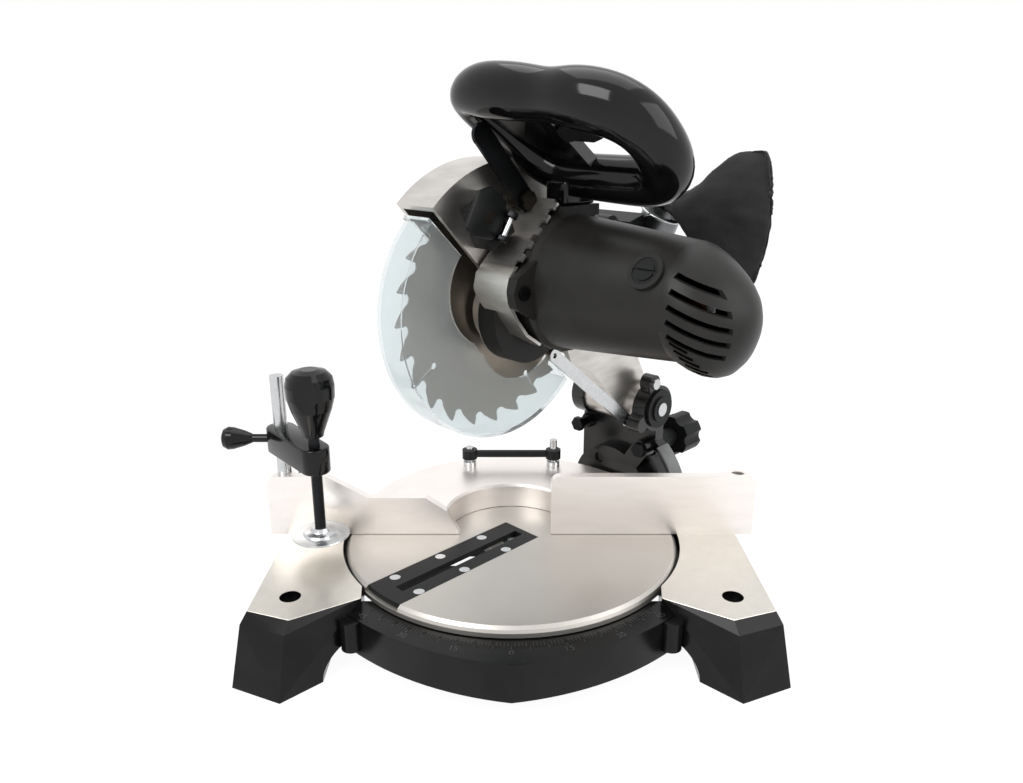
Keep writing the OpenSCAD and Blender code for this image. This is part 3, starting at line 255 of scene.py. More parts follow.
def painted_gearcase(material, paint):
    """Painted shade: black on the casting's round gearcase, standing in for the shade in the hollow by the blade,
    clear of its bare guard and arm.
    """
    tree = material.node_tree
    bare, coords, outlet = (find(tree, kind) for kind in ("BSDF_PRINCIPLED", "TEX_COORD", "OUTPUT_MATERIAL"))
    # Painted shade: this black, from the colour passed in as paint, stands for shade and not for real paint on the
    # gearcase
    black = add(tree, "ShaderNodeBsdfPrincipled", {"Base Color": paint, "Roughness": 0.45,
                                                   "Specular IOR Level": 0.25})
    hub = swung(0, HUB_Y, HUB_Z)
    axle = (swung(1, HUB_Y, HUB_Z) - hub).normalized()
    reach = add(tree, "ShaderNodeVectorMath", {1: hub}, {0: (coords, "Object")}, operation="SUBTRACT")
    side = add(tree, "ShaderNodeVectorMath", {1: axle}, {0: (reach, "Vector")}, operation="DOT_PRODUCT")
    whole = add(tree, "ShaderNodeVectorMath", wires={0: (reach, "Vector"), 1: (reach, "Vector")},
                operation="DOT_PRODUCT")
    square = add(tree, "ShaderNodeMath", wires={0: (side, "Value"), 1: (side, "Value")}, operation="MULTIPLY")
    rest = add(tree, "ShaderNodeMath", wires={0: (whole, "Value"), 1: (square, "Value")}, operation="SUBTRACT")
    case_radius, guard_face = 62 * MM, 25 * MM
    near = add(tree, "ShaderNodeMath", {1: case_radius ** 2}, {0: (rest, "Value")}, operation="LESS_THAN")
    front = add(tree, "ShaderNodeMath", {1: guard_face}, {0: (side, "Value")}, operation="GREATER_THAN")
    shade_mask = add(tree, "ShaderNodeMath", wires={0: (near, "Value"), 1: (front, "Value")}, operation="MULTIPLY")
    both = add(tree, "ShaderNodeMixShader", wires={"Fac": (shade_mask, "Value"), 1: (bare, "BSDF"), 2: (black, "BSDF")})
    tree.links.new(both.outputs["Shader"], outlet.inputs["Surface"])
    return material


def dress(node, material):
    """Give a solid its material."""
    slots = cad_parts[node].data.materials
    slots.clear()
    slots.append(material)


def take(piece, material, body):
    """Finish a new piece: its material and body."""
    piece.data.materials.clear()
    piece.data.materials.append(material)
    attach(piece, body)


def fresh(name):
    """Rename the active object and return it."""
    piece = bpy.context.active_object
    piece.name = name
    piece.data.name = name
    return piece


def clear_choice():
    """Deselect everything, in object mode."""
    if bpy.context.object and bpy.context.object.mode != "OBJECT":
        bpy.ops.object.mode_set(mode="OBJECT")
    bpy.ops.object.select_all(action="DESELECT")


def pick(piece):
    """Select one piece alone and make it active."""
    clear_choice()
    piece.select_set(True)
    bpy.context.view_layer.objects.active = piece


def edit_all():
    """Open the active piece for editing with everything selected."""
    bpy.ops.object.mode_set(mode="EDIT")
    bpy.ops.mesh.select_all(action="SELECT")


def bevel_all(offset, segments):
    """Bevel every edge of the active piece, by millimetres."""
    edit_all()
    bpy.ops.mesh.bevel(offset=offset * MM, segments=segments)
    bpy.ops.object.mode_set(mode="OBJECT")


def settle(piece):
    """Bake a piece's place into its mesh."""
    pick(piece)
    bpy.ops.object.transform_apply(location=True, rotation=True, scale=True)


def apply_all(piece):
    """Apply every modifier of a piece in order."""
    pick(piece)
    for modifier in list(piece.modifiers):
        bpy.ops.object.modifier_apply(modifier=modifier.name)


def loft(name, rings):
    """Extrude a ring through a list of rings of equal count and return the open tube."""
    clear_choice()
    bpy.ops.mesh.primitive_circle_add(vertices=len(rings[0]), radius=0.01, fill_type="NOTHING")
    piece = fresh(name)
    edit_all()
    mesh = bmesh.from_edit_mesh(piece.data)
    for vert, spot in zip(mesh.verts, rings[0]):
        vert.co = spot
    for ring in rings[1:]:
        bpy.ops.mesh.extrude_edges_move()
        mesh = bmesh.from_edit_mesh(piece.data)
        mesh.verts.ensure_lookup_table()
        for vert, spot in zip(mesh.verts[-len(ring):], ring):
            vert.co = spot
        bmesh.update_edit_mesh(piece.data)
    bpy.ops.object.mode_set(mode="OBJECT")
    return piece


def plate(name, outline, depth):
    """Extrude a flat outline by a vector and return the plate, selected and active."""
    clear_choice()
    bpy.ops.mesh.primitive_circle_add(vertices=len(outline), radius=0.01, fill_type="NGON")
    piece = fresh(name)
    bpy.ops.object.mode_set(mode="EDIT")
    mesh = bmesh.from_edit_mesh(piece.data)
    for vert, spot in zip(mesh.verts, outline):
        vert.co = spot
    bmesh.update_edit_mesh(piece.data)
    bpy.ops.mesh.select_all(action="SELECT")
    bpy.ops.mesh.extrude_region_move(TRANSFORM_OT_translate={"value": depth})
    bpy.ops.mesh.select_all(action="SELECT")
    bpy.ops.mesh.normals_make_consistent(inside=False)
    bpy.ops.object.mode_set(mode="OBJECT")
    return piece


def cap_end(piece, count):
    """Close the last ring of a lofted tube."""
    pick(piece)
    bpy.ops.object.mode_set(mode="EDIT")
    bpy.ops.mesh.select_all(action="DESELECT")
    mesh = bmesh.from_edit_mesh(piece.data)
    mesh.verts.ensure_lookup_table()
    for vert in mesh.verts[-count:]:
        vert.select_set(True)
    mesh.select_flush_mode()
    bpy.ops.mesh.edge_face_add()
    bpy.ops.mesh.select_all(action="SELECT")
    bpy.ops.mesh.normals_make_consistent(inside=False)
    bpy.ops.object.mode_set(mode="OBJECT")


def cut_box(piece, place, size, turn):
    """Cut a turned box out of a piece."""
    clear_choice()
    bpy.ops.mesh.primitive_cube_add(size=1, location=place)
    tool = fresh("cutter")
    tool.scale = [s * MM for s in size]
    tool.rotation_euler = turn.to_euler()
    cut = piece.modifiers.new("cut", "BOOLEAN")
    cut.operation = "DIFFERENCE"
    cut.object = tool
    apply_all(piece)
    bpy.data.objects.remove(tool)


class SawSettings(bpy.types.PropertyGroup):
    """Sizes, counts, colours and lamp power of the saw's dressing."""

    teeth: bpy.props.IntProperty(
        name="Teeth", description="Number of carbide tips round the blade", default=24, min=6, max=96)
    figure_height: bpy.props.FloatProperty(
        name="Figure Height", description="Height of the figures on the mitre scale", default=8.5 * MM,
        unit="LENGTH")
    bag_folds: bpy.props.FloatProperty(
        name="Bag Folds", description="Depth of the folds in the dust bag's cloth", default=7 * MM, unit="LENGTH")
    slits: bpy.props.IntProperty(
        name="Slits", description="Number of long slits, and of short vents, in the motor's end", default=5, min=1,
        max=6)
    key_power: bpy.props.FloatProperty(
        name="Key Lamp", description="Power of the key lamp", default=20, unit="POWER")
    paint: bpy.props.FloatVectorProperty(
        name="Paint", description="Enamel on the bevel joint's castings", default=linear("#090909"), size=4, min=0,
        max=1, subtype="COLOR")
    plastic: bpy.props.FloatVectorProperty(
        name="Plastic", description="Matte plastic of knobs and covers", default=linear("#0f1011"), size=4, min=0,
        max=1, subtype="COLOR")
    gloss: bpy.props.FloatVectorProperty(
        name="Gloss Plastic", description="Polished plastic of the handle and clamp", default=linear("#050506"),
        size=4, min=0, max=1, subtype="COLOR")
    motor: bpy.props.FloatVectorProperty(
        name="Motor Plastic", description="Plastic of the motor's body", default=linear("#191817"), size=4, min=0,
        max=1, subtype="COLOR")
    alloy: bpy.props.FloatVectorProperty(
        name="Alloy", description="Bare casting of the saw's head", default=linear("#d8d4cf"), size=4, min=0, max=1,
        subtype="COLOR")
    cloth: bpy.props.FloatVectorProperty(
        name="Cloth", description="Cloth of the dust bag", default=linear("#0c0c0d"), size=4, min=0, max=1,
        subtype="COLOR")


class SAW_OT_finishes(bpy.types.Operator):
    """Give each solid of the saw its material"""

    bl_idname = "mitre_saw.finishes"
    bl_label = "Finish the solids"

    def execute(self, context):
        colours = context.scene.mitre_saw
        enamel = painted_casting("enamelled_casting", tuple(colours.paint), 0.5)
        abs_matte = moulded_plastic("matte_abs", tuple(colours.plastic), 0.42, 0.12, 0.2)
        abs_gloss = moulded_plastic("polished_abs", tuple(colours.gloss), 0.1, 0.01, 0.3)
        motor_abs = moulded_plastic("motor_abs", tuple(colours.motor), 0.4, 0.1, 0.24)
        head_alloy = cast_alloy("bare_head_casting", tuple(colours.alloy), 0.3, 0.75)
        faced = turned_alloy("faced_alloy", linear("#c3bfb9"), (0, 0, TABLE_TOP), 0.34)
        fence_alloy = cast_alloy("milled_fence_alloy", linear("#fdf7f3"), 0.36, 0.95)
        zinc = plated_steel("zinc_plated_steel", linear("#cfd1d2"), 0.26)
        dark = plated_steel("blackened_steel", linear("#2a2b2d"), 0.38)
        ground = turned_alloy("ground_blade_steel", linear("#80786e"), swung(0, HUB_Y, HUB_Z), 0.3)
        bronze = plated_steel("dull_bronze", linear("#3a3630"), 0.4)
        # Partly painted shade: the windings' copper is darkened to stand in for the shade inside the motor
        copper_with_painted_shade = plated_steel("wound_copper", linear("#7a4c30"), 0.4)
        # Partly painted reflection: the bevel scale plate's mid grey stands partly for a real scale plate and partly
        # for the bright reflection on the housing's glossy black flank
        grey = painted_casting("grey_scale_plate", linear("#6a6c6c"), 0.2)
        clear = clear_guard("clear_polycarbonate", linear("#eff4f5"))
        finishes = {
            table_casting("milled_base_casting", linear("#0a0a0a"), linear("#dedad2")): ["base"],
            fence_alloy: ["fence"],
            faced: ["turntable"],
            # The gearcase's round face takes painted shade: a black that stands for the dark hollow by the blade
            painted_gearcase(head_alloy, linear("#100f0e")): ["head_casting"],
            enamel: ["tilt_plate", "tilt_housing"],
            abs_matte: ["rail_bar", "socket_screw", "kerf_insert", "tilt_knob", "hub_caps", "motor_cover",
                        "brush_caps", "switch_block", "latch_block", "dust_chute", "fan", "trigger"],
            abs_gloss: ["handle", "clamp_lock", "clamp_knob", "clamp_arm"],
            motor_abs: ["motor_housing"],
            zinc: ["rail_posts", "pivot_bolt", "insert_screws", "tilt_pin", "chop_pin", "bearings", "dust_clip",
                   "arbor", "flanges", "driven_gear", "pinion", "guard_link", "clamp_rod", "clamp_pad"],
            dark: ["fence_screws", "tilt_bolts", "tilt_stud", "stop_screw", "motor_screws", "arbor_bolt",
                   "release_lever", "clamp_spindle"],
            ground: ["blade"],
            bronze: ["latch_bolt"],
            copper_with_painted_shade: ["stator", "armature"],
            grey: ["tilt_scale"],
            clear: ["lower_guard"],
        }
        for material, nodes in finishes.items():
            for node in nodes:
                dress(node, material)
        return {"FINISHED"}


class SAW_OT_stage(bpy.types.Operator):
    """Lay the floor, set the lamps and place the camera"""

    bl_idname = "mitre_saw.stage"
    bl_label = "Set the stage"

    def execute(self, context):
        clear_choice()
        bpy.ops.mesh.primitive_plane_add(size=40)
        floor = fresh("floor")
        material, tree, shader, _ = start("pale_floor")
        shader.inputs["Base Color"].default_value = linear("#f4f4f3")
        shader.inputs["Roughness"].default_value = 0.6
        outlet = find(tree, "OUTPUT_MATERIAL")
        white = linear("#ffffff")
        glow = add(tree, "ShaderNodeEmission", {"Color": white, "Strength": 1.1})
        rays = add(tree, "ShaderNodeLightPath")
        seen = add(tree, "ShaderNodeMath", wires={0: (rays, "Is Camera Ray"), 1: (rays, "Is Glossy Ray")},
                   operation="MAXIMUM")
        part = add(tree, "ShaderNodeMath", {1: 0.86}, {0: (seen, "Value")}, operation="MULTIPLY")
        both = add(tree, "ShaderNodeMixShader", wires={"Fac": (part, "Value"), 1: (shader, "BSDF"),
                                                       2: (glow, "Emission")})
        tree.links.new(both.outputs["Shader"], outlet.inputs["Surface"])
        floor.data.materials.append(material)
        lamps = (("key", (-0.9, -1.1, 1.5), 1.0, context.scene.mitre_saw.key_power),
                 ("fill", (1.3, -0.7, 1.0), 1.2, 10), ("top", (0.1, 0.3, 1.8), 1.4, 9))
        for name, place, size, power in lamps:
            bpy.ops.object.light_add(type="AREA", location=place)
            lamp = bpy.context.active_object
            lamp.name = name
            lamp.data.energy = power
            lamp.data.size = size
            aim = Vector((0, 0, 0.2)) - Vector(place)
            lamp.rotation_euler = aim.to_track_quat("-Z", "Y").to_euler()
        world = bpy.data.worlds.new("studio")
        world.use_nodes = True
        tree = world.node_tree
        tree.nodes.clear()
        soft = add(tree, "ShaderNodeBackground", {"Color": white, "Strength": 0.58})
        bright = add(tree, "ShaderNodeBackground", {"Color": white, "Strength": 1.0})
        rays = add(tree, "ShaderNodeLightPath")
        clear = add(tree, "ShaderNodeMath", wires={0: (rays, "Is Camera Ray"), 1: (rays, "Is Transmission Ray")},
                    operation="MAXIMUM")
        seen = add(tree, "ShaderNodeMath", wires={0: (clear, "Value"), 1: (rays, "Is Glossy Ray")},
                   operation="MAXIMUM")
        both = add(tree, "ShaderNodeMixShader", wires={"Fac": (seen, "Value"), 1: (soft, "Background"),
                                                       2: (bright, "Background")})
        add(tree, "ShaderNodeOutputWorld", wires={"Surface": (both, "Shader")})
        context.scene.world = world
        bpy.ops.object.camera_add(location=(0, -CAMERA_BACK, TABLE_TOP + CAMERA_UP),
                                  rotation=(math.radians(CAMERA_PITCH), 0, 0))
        camera = bpy.context.active_object
        camera.data.sensor_width = CAMERA_SENSOR
        camera.data.lens = CAMERA_LENS
        context.scene.camera = camera
        context.scene.view_settings.view_transform = "Standard"
        return {"FINISHED"}


class SAW_OT_dust_bag(bpy.types.Operator):
    """Sew the dust bag: a collar on the outlet that flattens to a seam, sagging in between"""

    bl_idname = "mitre_saw.dust_bag"
    bl_label = "Hang the dust bag"

    def execute(self, context):
        # Top edge, low edge, depth, half thickness and bow of each ring, in millimetres
        edges = (
            ((58, 321), (94, 305), 120, 19.7, 0), ((60.4, 326), (96.4, 310), 120, 19.8, 0),
            ((69, 324), (99, 298), 121, 20, 0), ((82, 319), (104, 286), 123, 21, 0),
            ((97, 325), (112, 271), 125, 23, 1), ((113, 338), (124, 258), 127, 23, 2),
            ((130, 352), (139, 249), 128, 19, 4), ((149, 358), (154, 246), 128, 11, 6),
            ((162, 359), (161, 248), 128, 4.5, 8), ((167, 359), (165, 249.5), 128, 1.5, 9),
        )
        count = 40
        rings = []
        for index, (top, low, y, thick, bow) in enumerate(edges):
            ring = []
            for k in range(count):
                angle = 2 * math.pi * k / count
                along, across = math.cos(angle), math.sin(angle)
                crease = 1 + 0.035 * math.sin(5 * angle + 1.7 * index) * min(index, 4) / 4
                share = (1 + along * crease) / 2
                ring.append(swung(top[0] + (low[0] - top[0]) * share + bow * across * across,
                                  y + thick * across * crease, top[1] + (low[1] - top[1]) * share))
            rings.append(ring)
        bag = loft("dust_bag_cloth", rings)
        cap_end(bag, count)
        smooth = bag.modifiers.new("round", "SUBSURF")
        smooth.levels = smooth.render_levels = 2
        folds = bpy.data.textures.new("bag_folds", "CLOUDS")
        folds.noise_scale = 30 * MM
        rumple = bag.modifiers.new("rumple", "DISPLACE")
        rumple.texture = folds
        rumple.strength = context.scene.mitre_saw.bag_folds
        rumple.mid_level = 0.55
        wall = bag.modifiers.new("cloth", "SOLIDIFY")
        wall.thickness = 1.2 * MM
        wall.offset = -1
        apply_all(bag)
        bpy.ops.object.shade_smooth()
        take(bag, woven_cloth("black_polyester", tuple(context.scene.mitre_saw.cloth)), "head")
        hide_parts("dust_bag")
        return {"FINISHED"}


class SAW_OT_mitre_scale(bpy.types.Operator):
    """Raise the degree ticks and figures, black on black, on the front apron; their dark grey, a little lighter than
    the apron, is a painted highlight
    """

    bl_idname = "mitre_saw.mitre_scale"
    bl_label = "Raise the mitre scale"

    def execute(self, context):
        # Painted highlight: the raised marks are a dark grey lighter than the apron's black, with brighter specks,
        # standing in for the light on their edges
        enamel, tree, shader, coords = start("raised_scale_enamel")
        painted_highlight_speckle = add(tree, "ShaderNodeTexNoise", {"Scale": 500, "Detail": 3}, {"Vector": (coords, "Object")})
        feed(tree, shader, ((painted_highlight_speckle, "Fac"), 0.3, 0.6, linear("#161718"), linear("#343638")),
             ((painted_highlight_speckle, "Fac"), 0.25, 0.4))
        level = SCALE_TOP + 0.05 * MM
        figure_reach = 175.5 * MM
        rows = (("ticks_fine", 90, 162, 167.5, 0.45), ("ticks_bold", 18, 162, 171, 0.7))
        for name, steps, near, far, wide in rows:
            clear_choice()
            bpy.ops.mesh.primitive_cube_add(size=1, location=(0, -(near + far) / 2 * MM, level))
            ticks = fresh(name)
            ticks.scale = (wide * MM, (far - near) * MM, 0.2 * MM)
            settle(ticks)
            edit_all()
            bpy.ops.transform.rotate(value=math.radians(45), orient_axis="Z", center_override=(0, 0, 0))
            bpy.ops.mesh.spin(steps=steps, dupli=True, angle=math.radians(90), center=(0, 0, 0), axis=(0, 0, -1))
            bpy.ops.object.mode_set(mode="OBJECT")
            take(ticks, enamel, "base")
        for degrees in range(-45, 46, 15):
            angle = math.radians(degrees)
            clear_choice()
            bpy.ops.object.text_add()
            figure = fresh("figure_%d_%s" % (abs(degrees), "left" if degrees < 0 else "right"))
            figure.data.body = str(abs(degrees))
            figure.data.align_x = "CENTER"
            figure.data.align_y = "CENTER"
            figure.data.size = context.scene.mitre_saw.figure_height
            figure.data.extrude = 0.1 * MM
            bpy.ops.object.convert(target="MESH")
            figure.location = (figure_reach * math.sin(angle), -figure_reach * math.cos(angle), level)
            figure.rotation_euler = (0, 0, angle)
            settle(figure)
            take(figure, enamel, "base")
        return {"FINISHED"}


class SAW_OT_carbide(bpy.types.Operator):
    """Braze a carbide tip on the face of each blade tooth"""

    bl_idname = "mitre_saw.carbide"
    bl_label = "Tip the teeth"

    def execute(self, context):
        clear_choice()
        bpy.ops.mesh.primitive_cube_add(size=1)
        tips = fresh("carbide_tips")
        tips.scale = (2.6 * MM, 7 * MM, 2.2 * MM)
        settle(tips)
        bevel_all(0.25, 1)
        tips.location = (0, 102 * MM, 1.1 * MM)
        settle(tips)
        hub = swung(0, HUB_Y, HUB_Z)
        tips.location = hub
        tips.rotation_euler = (0, 0, MITRE)
        settle(tips)
        edit_all()
        axle = swung(1, 0, 0) - swung(0, 0, 0)
        bpy.ops.mesh.spin(steps=context.scene.mitre_saw.teeth, dupli=True, angle=2 * math.pi, center=hub,
                          axis=axle.normalized())
        bpy.ops.mesh.remove_doubles(threshold=0.01 * MM)
        bpy.ops.object.mode_set(mode="OBJECT")
        take(tips, plated_steel("sintered_carbide", linear("#8e8f8c"), 0.4), "blade")
        return {"FINISHED"}


class SAW_OT_handle(bpy.types.Operator):
    """Shape the D handle: a swelling grip with a waist, in one smooth loop on its neck"""

    bl_idname = "mitre_saw.handle"
    bl_label = "Shape the handle"

    def execute(self, context):
        # Across, up and bar radius along the loop, in millimetres
        path = (
            (-80, 93, 17), (-62, 96, 21), (-40, 95, 21.5), (-16, 92, 21), (6, 89, 18.5), (24, 88, 21.5),
            (44, 84, 22.5), (62, 77, 22), (75, 64, 21), (80, 47, 20), (80, 28, 20), (74, 11, 20.5),
            (60, 4, 20), (40, 3, 19), (15, 4, 18.5), (-12, 5, 18), (-34, 9, 17), (-52, 24, 15.5),
            (-66, 48, 14), (-80, 74, 14),
        )
        count = len(path)
        rings = []
        for index in range(count + 1):
            x, z, r = path[index % count]
            before, after = path[(index - 1) % count], path[(index + 1) % count]
            run = Vector((after[0] - before[0], after[1] - before[1])).normalized()
            rings.append([held(x - run.y * (r * along), r * across, z + run.x * (r * along))
                          for along, across in turns(20)])
        loop = loft("d_handle", rings)
        edit_all()
        bpy.ops.mesh.remove_doubles(threshold=0.05 * MM)
        bpy.ops.mesh.normals_make_consistent(inside=False)
        bpy.ops.object.mode_set(mode="OBJECT")
        smooth = loop.modifiers.new("round", "SUBSURF")
        smooth.levels = smooth.render_levels = 2
        apply_all(loop)
        lean = Matrix.Rotation(MITRE, 3, "Z") @ Matrix.Rotation(math.radians(45), 3, "X")
        cut_box(loop, held(23, 0, 66), (48, 15, 34), lean)
        clear_choice()
        bpy.ops.mesh.primitive_cube_add(size=1, location=swung(57.5, 10, 326), rotation=(0, 0, MITRE))
        neck = fresh("handle_neck")
        neck.scale = (23 * MM, 36 * MM, 20 * MM)
        settle(neck)
        bevel_all(3, 3)
        web = plate("handle_web", [held(x, -5, z) for x, z in ((-74, 80), (-8, 78), (2, 52), (12, 12), (-40, 10))],
                    held(0, 5, 0) - held(0, -5, 0))
        for part in (neck, web, loop):
            part.select_set(True)
        bpy.context.view_layer.objects.active = loop
        bpy.ops.object.join()
        bpy.ops.object.shade_smooth_by_angle(angle=SOFT_EDGE)
        take(loop, bpy.data.materials["polished_abs"], "head")
        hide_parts("handle")
        return {"FINISHED"}


class SAW_OT_motor_end(bpy.types.Operator):
    """Round off the motor with a drooping end cap, with long slits and short vents"""

    bl_idname = "mitre_saw.motor_end"
    bl_label = "Cap the motor"

    def execute(self, context):
        # Place along the motor, drop and radius of each ring, in millimetres
        stations = ((183, 0, 45.2), (188, 1.5, 45.6), (196, 5, 45), (204, 8.5, 43), (211, 11, 40), (217, 12.5, 36),
                    (223, 12.5, 29.5), (228, 11.5, 21), (231.5, 10.5, 12), (233, 10, 4))
        count = 48
        rings = []
        for x, drop, r in stations:
            rings.append([swung(x, MOTOR_Y + r * along, MOTOR_Z - drop + r * across)
                          for along, across in turns(count)])
        dome = loft("motor_end_cap", rings)
        cap_end(dome, count)
        wall = dome.modifiers.new("wall", "SOLIDIFY")
        wall.thickness = 3 * MM
        wall.offset = -1
        apply_all(dome)
        droop = Matrix.Rotation(MITRE, 3, "Z") @ Matrix.Rotation(math.radians(22), 3, "Y")
        for k in range(context.scene.mitre_saw.slits):
            cut_box(dome, swung(211, -34, MOTOR_Z + 17 - 10.5 * k), (46, 40, 4), droop)
        for k in range(context.scene.mitre_saw.slits):
            cut_box(dome, swung(198 + 2.6 * k, -33 + 2.8 * k, 230 - 5.4 * k), (15, 24, 2.6), droop)
        bpy.ops.object.shade_smooth_by_angle(angle=math.radians(35))
        take(dome, bpy.data.materials["motor_abs"], "head")
        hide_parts("motor_cover")
        return {"FINISHED"}


class SAW_OT_flange_teeth(bpy.types.Operator):
    """Step the bare casting's edge over the motor flange and fair its front lug"""

    bl_idname = "mitre_saw.flange_teeth"
    bl_label = "Step the flange edge"

    def execute(self, context):
        alloy = cast_alloy("blasted_alloy", tuple(context.scene.mitre_saw.alloy), 0.3, 0.75)
        axle = (swung(1, MOTOR_Y, MOTOR_Z) - swung(0, MOTOR_Y, MOTOR_Z)).normalized()
        lean = math.sqrt(0.5)

        def around(r, degrees, x):
            angle = math.radians(degrees)
            return swung(x, MOTOR_Y + r * math.cos(angle), MOTOR_Z + r * math.sin(angle))

        def edge(x, t):
            return swung(x, -11.5 - lean * t, 321.5 - lean * t)

        steps = [edge(27, 0), edge(60, 0)]
        for k in range(5):
            for x, t in ((60, 3), (65, 3), (65, 9.5), (60, 9.5)):
                steps.append(edge(x, t + 13 * k))
        steps += [edge(60, 67.9), edge(27, 67.9)]
        skirt = plate("flange_skirt", steps, 2.5 * (swung(0, lean, -lean) - swung(0, 0, 0)))
        take(skirt, alloy, "head")
        sweep = ((-59, 274, 27), (-67, 266, 27), (-69.5, 256, 27), (-68, 246, 28), (-59, 231, 34), (-47, 216, 43),
                 (-31, 205.5, 53))
        rings = []
        for y, z, x in sweep:
            inner = (MOTOR_Y + 0.96 * (y - MOTOR_Y), MOTOR_Z + 0.96 * (z - MOTOR_Z))
            rings.append([swung(x, y, z), swung(64, y, z), swung(64, *inner), swung(x, *inner)])
        lower = loft("flange_skirt_low", rings)
        cap_end(lower, 4)
        bpy.ops.object.shade_smooth_by_angle(angle=SOFT_EDGE)
        take(lower, alloy, "head")
        fairing = [around(r, a, 64.2) for r, a in ((56, 155), (73, 171), (75.5, 180), (73, 189), (56, 205))]
        lug = plate("lug_fairing", fairing, 8 * MM * axle)
        take(lug, bpy.data.materials["motor_abs"], "head")
        clear_choice()
        bpy.ops.mesh.primitive_cylinder_add(vertices=32, radius=5.5 * MM, depth=3 * MM, location=around(65, 180, 73.5),
                                            rotation=axle.to_track_quat("Z", "Y").to_euler())
        screw = fresh("lug_screw")
        settle(screw)
        cut_box(screw, around(65, 180, 75), (2, 7, 1.6), Matrix.Rotation(MITRE, 3, "Z"))
        take(screw, bpy.data.materials["blackened_steel"], "head")
        return {"FINISHED"}


class SAW_OT_dust_pipe(bpy.types.Operator):
    """Sleeve the dust outlet with its bare grey pipe"""

    bl_idname = "mitre_saw.dust_pipe"
    bl_label = "Sleeve the dust outlet"

    def execute(self, context):
        rings = []
        for share, r in ((0.0, 17.1), (0.02, 17.6), (0.96, 17.6), (0.97, 17.1)):
            rings.append([swung(56 + 19 * share + 0.915 * r * along, 120 + r * across,
                                268 + 43 * share - 0.404 * r * along) for along, across in turns(40)])
        pipe = loft("dust_pipe", rings)
        bpy.ops.object.shade_smooth_by_angle(angle=SOFT_EDGE)
        take(pipe, plated_steel("satin_grey_steel", linear("#76787a"), 0.34), "head")
        return {"FINISHED"}


class SAW_OT_clamp(bpy.types.Operator):
    """Cast the clamp arm with full flanks and press the dished pad"""

    bl_idname = "mitre_saw.clamp"
    bl_label = "Shape the work clamp"

    def execute(self, context):
        low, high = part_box("clamp_arm")
        rod, screw = (Vector((x * MM, y * MM)) for x, y in (CLAMP_ROD, CLAMP_SCREW))
        course = math.atan2(screw.y - rod.y, screw.x - rod.x)
        outline = []
        for centre, radius, first in ((rod, 13.5 * MM, course + math.pi / 2), (screw, 13 * MM, course - math.pi / 2)):
            for k in range(13):
                angle = first + math.pi * k / 12
                outline.append(Vector((centre.x + radius * math.cos(angle), centre.y + radius * math.sin(angle),
                                       low[2])))
        arm = plate("clamp_arm_casting", outline, Vector((0, 0, high[2] - low[2])))
        round_off = arm.modifiers.new("edge", "BEVEL")
        round_off.width = 1.6 * MM
        round_off.segments = 3
        round_off.limit_method = "ANGLE"
        apply_all(arm)
        bpy.ops.object.shade_smooth_by_angle(angle=SOFT_EDGE)
        take(arm, bpy.data.materials["polished_abs"], "clamp_arm")
        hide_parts("clamp_arm")
        base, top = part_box("clamp_pad")
        count = 48
        # Radius and height of each ring of the pad, in millimetres
        profile = ((2, 0), (25.5, 0), (26, 0.8), (25.5, 1.8), (16, 2.2), (14.5, 4.2), (9.5, 5.2), (8.3, 7), (7.6, 9.5))
        rings = []
        for r, z in profile:
            lift = base[2] + min(z * MM, top[2] - base[2])
            rings.append([Vector((screw.x + r * MM * along, screw.y + r * MM * across, lift))
                          for along, across in turns(count)])
        pad = loft("clamp_pad_dish", rings)
        cap_end(pad, count)
        bpy.ops.object.shade_smooth_by_angle(angle=math.radians(25))
        take(pad, bpy.data.materials["zinc_plated_steel"], "clamp_pad")
        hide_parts("clamp_pad")
        return {"FINISHED"}


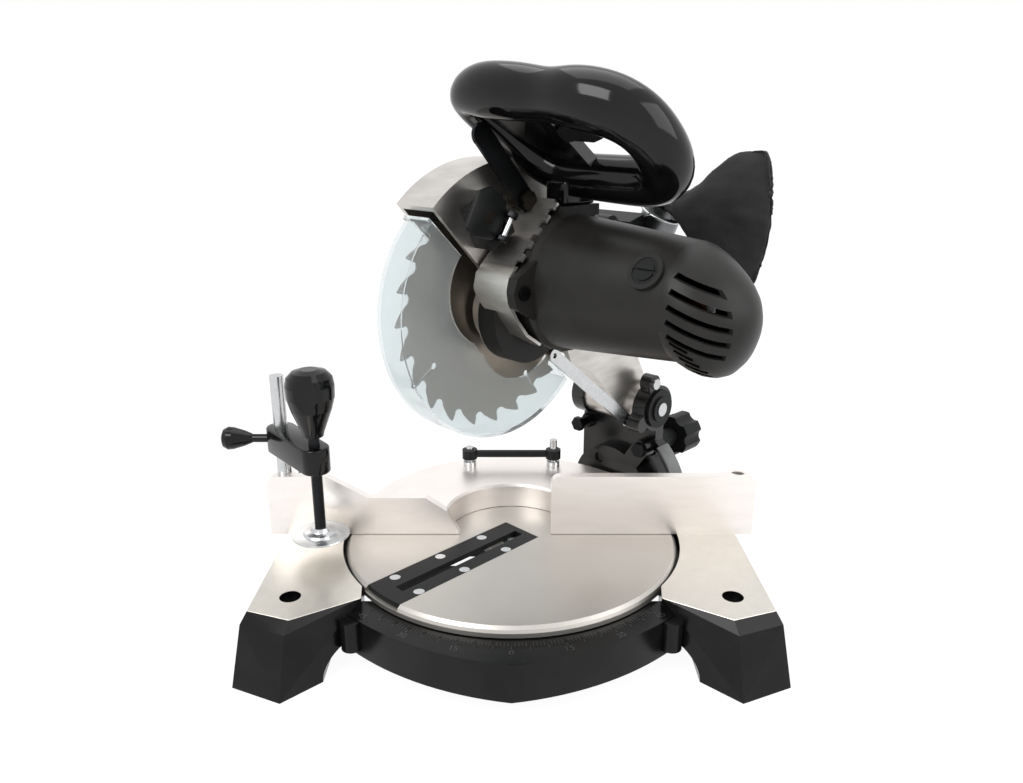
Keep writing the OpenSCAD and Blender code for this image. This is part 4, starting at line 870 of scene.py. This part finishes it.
class SAW_OT_latch(bpy.types.Operator):
    """Cover the guard latch and hang its adjusting screw beside it"""

    bl_idname = "mitre_saw.latch"
    bl_label = "Cover the latch"

    def execute(self, context):
        outline = ((-94, 305), (-80, 331), (-67, 334), (-51, 321), (-57, 299), (-68, 293), (-88, 299))
        cover = plate("latch_cover", [swung(43, y, z) for y, z in outline], swung(47, 0, 0) - swung(43, 0, 0))
        edge = cover.modifiers.new("edge", "BEVEL")
        edge.width = 1.2 * MM
        edge.segments = 2
        apply_all(cover)
        bpy.ops.object.shade_smooth_by_angle(angle=SOFT_EDGE)
        take(cover, bpy.data.materials["matte_abs"], "head")
        top, low = swung(50, -48, 313), swung(50, -61, 292)
        rods = (("latch_screw", top, low, 2.2, 24, "zinc_plated_steel", "bright_steel"),
                ("latch_nut_high", top, top.lerp(low, 0.2), 5, 6, "blackened_steel", "black_steel"),
                ("latch_nut_low", low.lerp(top, 0.16), low, 5, 6, "blackened_steel", "black_steel"))
        for name, first, last, r, sides, finish, slot in rods:
            clear_choice()
            run = last - first
            bpy.ops.mesh.primitive_cylinder_add(vertices=sides, radius=r * MM, depth=run.length,
                                                location=(first + last) / 2,
                                                rotation=run.to_track_quat("Z", "Y").to_euler())
            piece = fresh(name)
            settle(piece)
            bevel_all(0.5, 2)
            bpy.ops.object.shade_smooth_by_angle(angle=math.radians(35))
            take(piece, bpy.data.materials[finish], "head")
        return {"FINISHED"}


class SAW_PT_panel(bpy.types.Panel):
    """Settings of the saw's dressing, and its steps in order"""

    bl_label = "Mitre Saw"
    bl_space_type = "VIEW_3D"
    bl_region_type = "UI"
    bl_category = "Mitre Saw"

    def draw(self, context):
        for key in SawSettings.__annotations__:
            self.layout.prop(context.scene.mitre_saw, key)
        for step in STEPS:
            self.layout.operator(step.bl_idname)


STEPS = (SAW_OT_stage, SAW_OT_finishes, SAW_OT_dust_bag, SAW_OT_mitre_scale, SAW_OT_carbide, SAW_OT_handle,
         SAW_OT_motor_end, SAW_OT_flange_teeth, SAW_OT_dust_pipe, SAW_OT_clamp, SAW_OT_latch)
CLASSES = (SawSettings,) + STEPS + (SAW_PT_panel,)


def register():
    """Register the classes and the settings."""
    for entry in CLASSES:
        bpy.utils.register_class(entry)
    bpy.types.Scene.mitre_saw = bpy.props.PointerProperty(type=SawSettings)


def unregister():
    """Take the settings and the classes out again."""
    del bpy.types.Scene.mitre_saw
    for entry in reversed(CLASSES):
        bpy.utils.unregister_class(entry)


def main():
    """Dress the saw step by step."""
    register()
    bpy.ops.mitre_saw.stage()
    bpy.ops.mitre_saw.finishes()
    bpy.ops.mitre_saw.dust_bag()
    bpy.ops.mitre_saw.mitre_scale()
    bpy.ops.mitre_saw.carbide()
    bpy.ops.mitre_saw.handle()
    bpy.ops.mitre_saw.motor_end()
    bpy.ops.mitre_saw.flange_teeth()
    bpy.ops.mitre_saw.dust_pipe()
    bpy.ops.mitre_saw.clamp()
    bpy.ops.mitre_saw.latch()


if __name__ == "__main__":
    main()
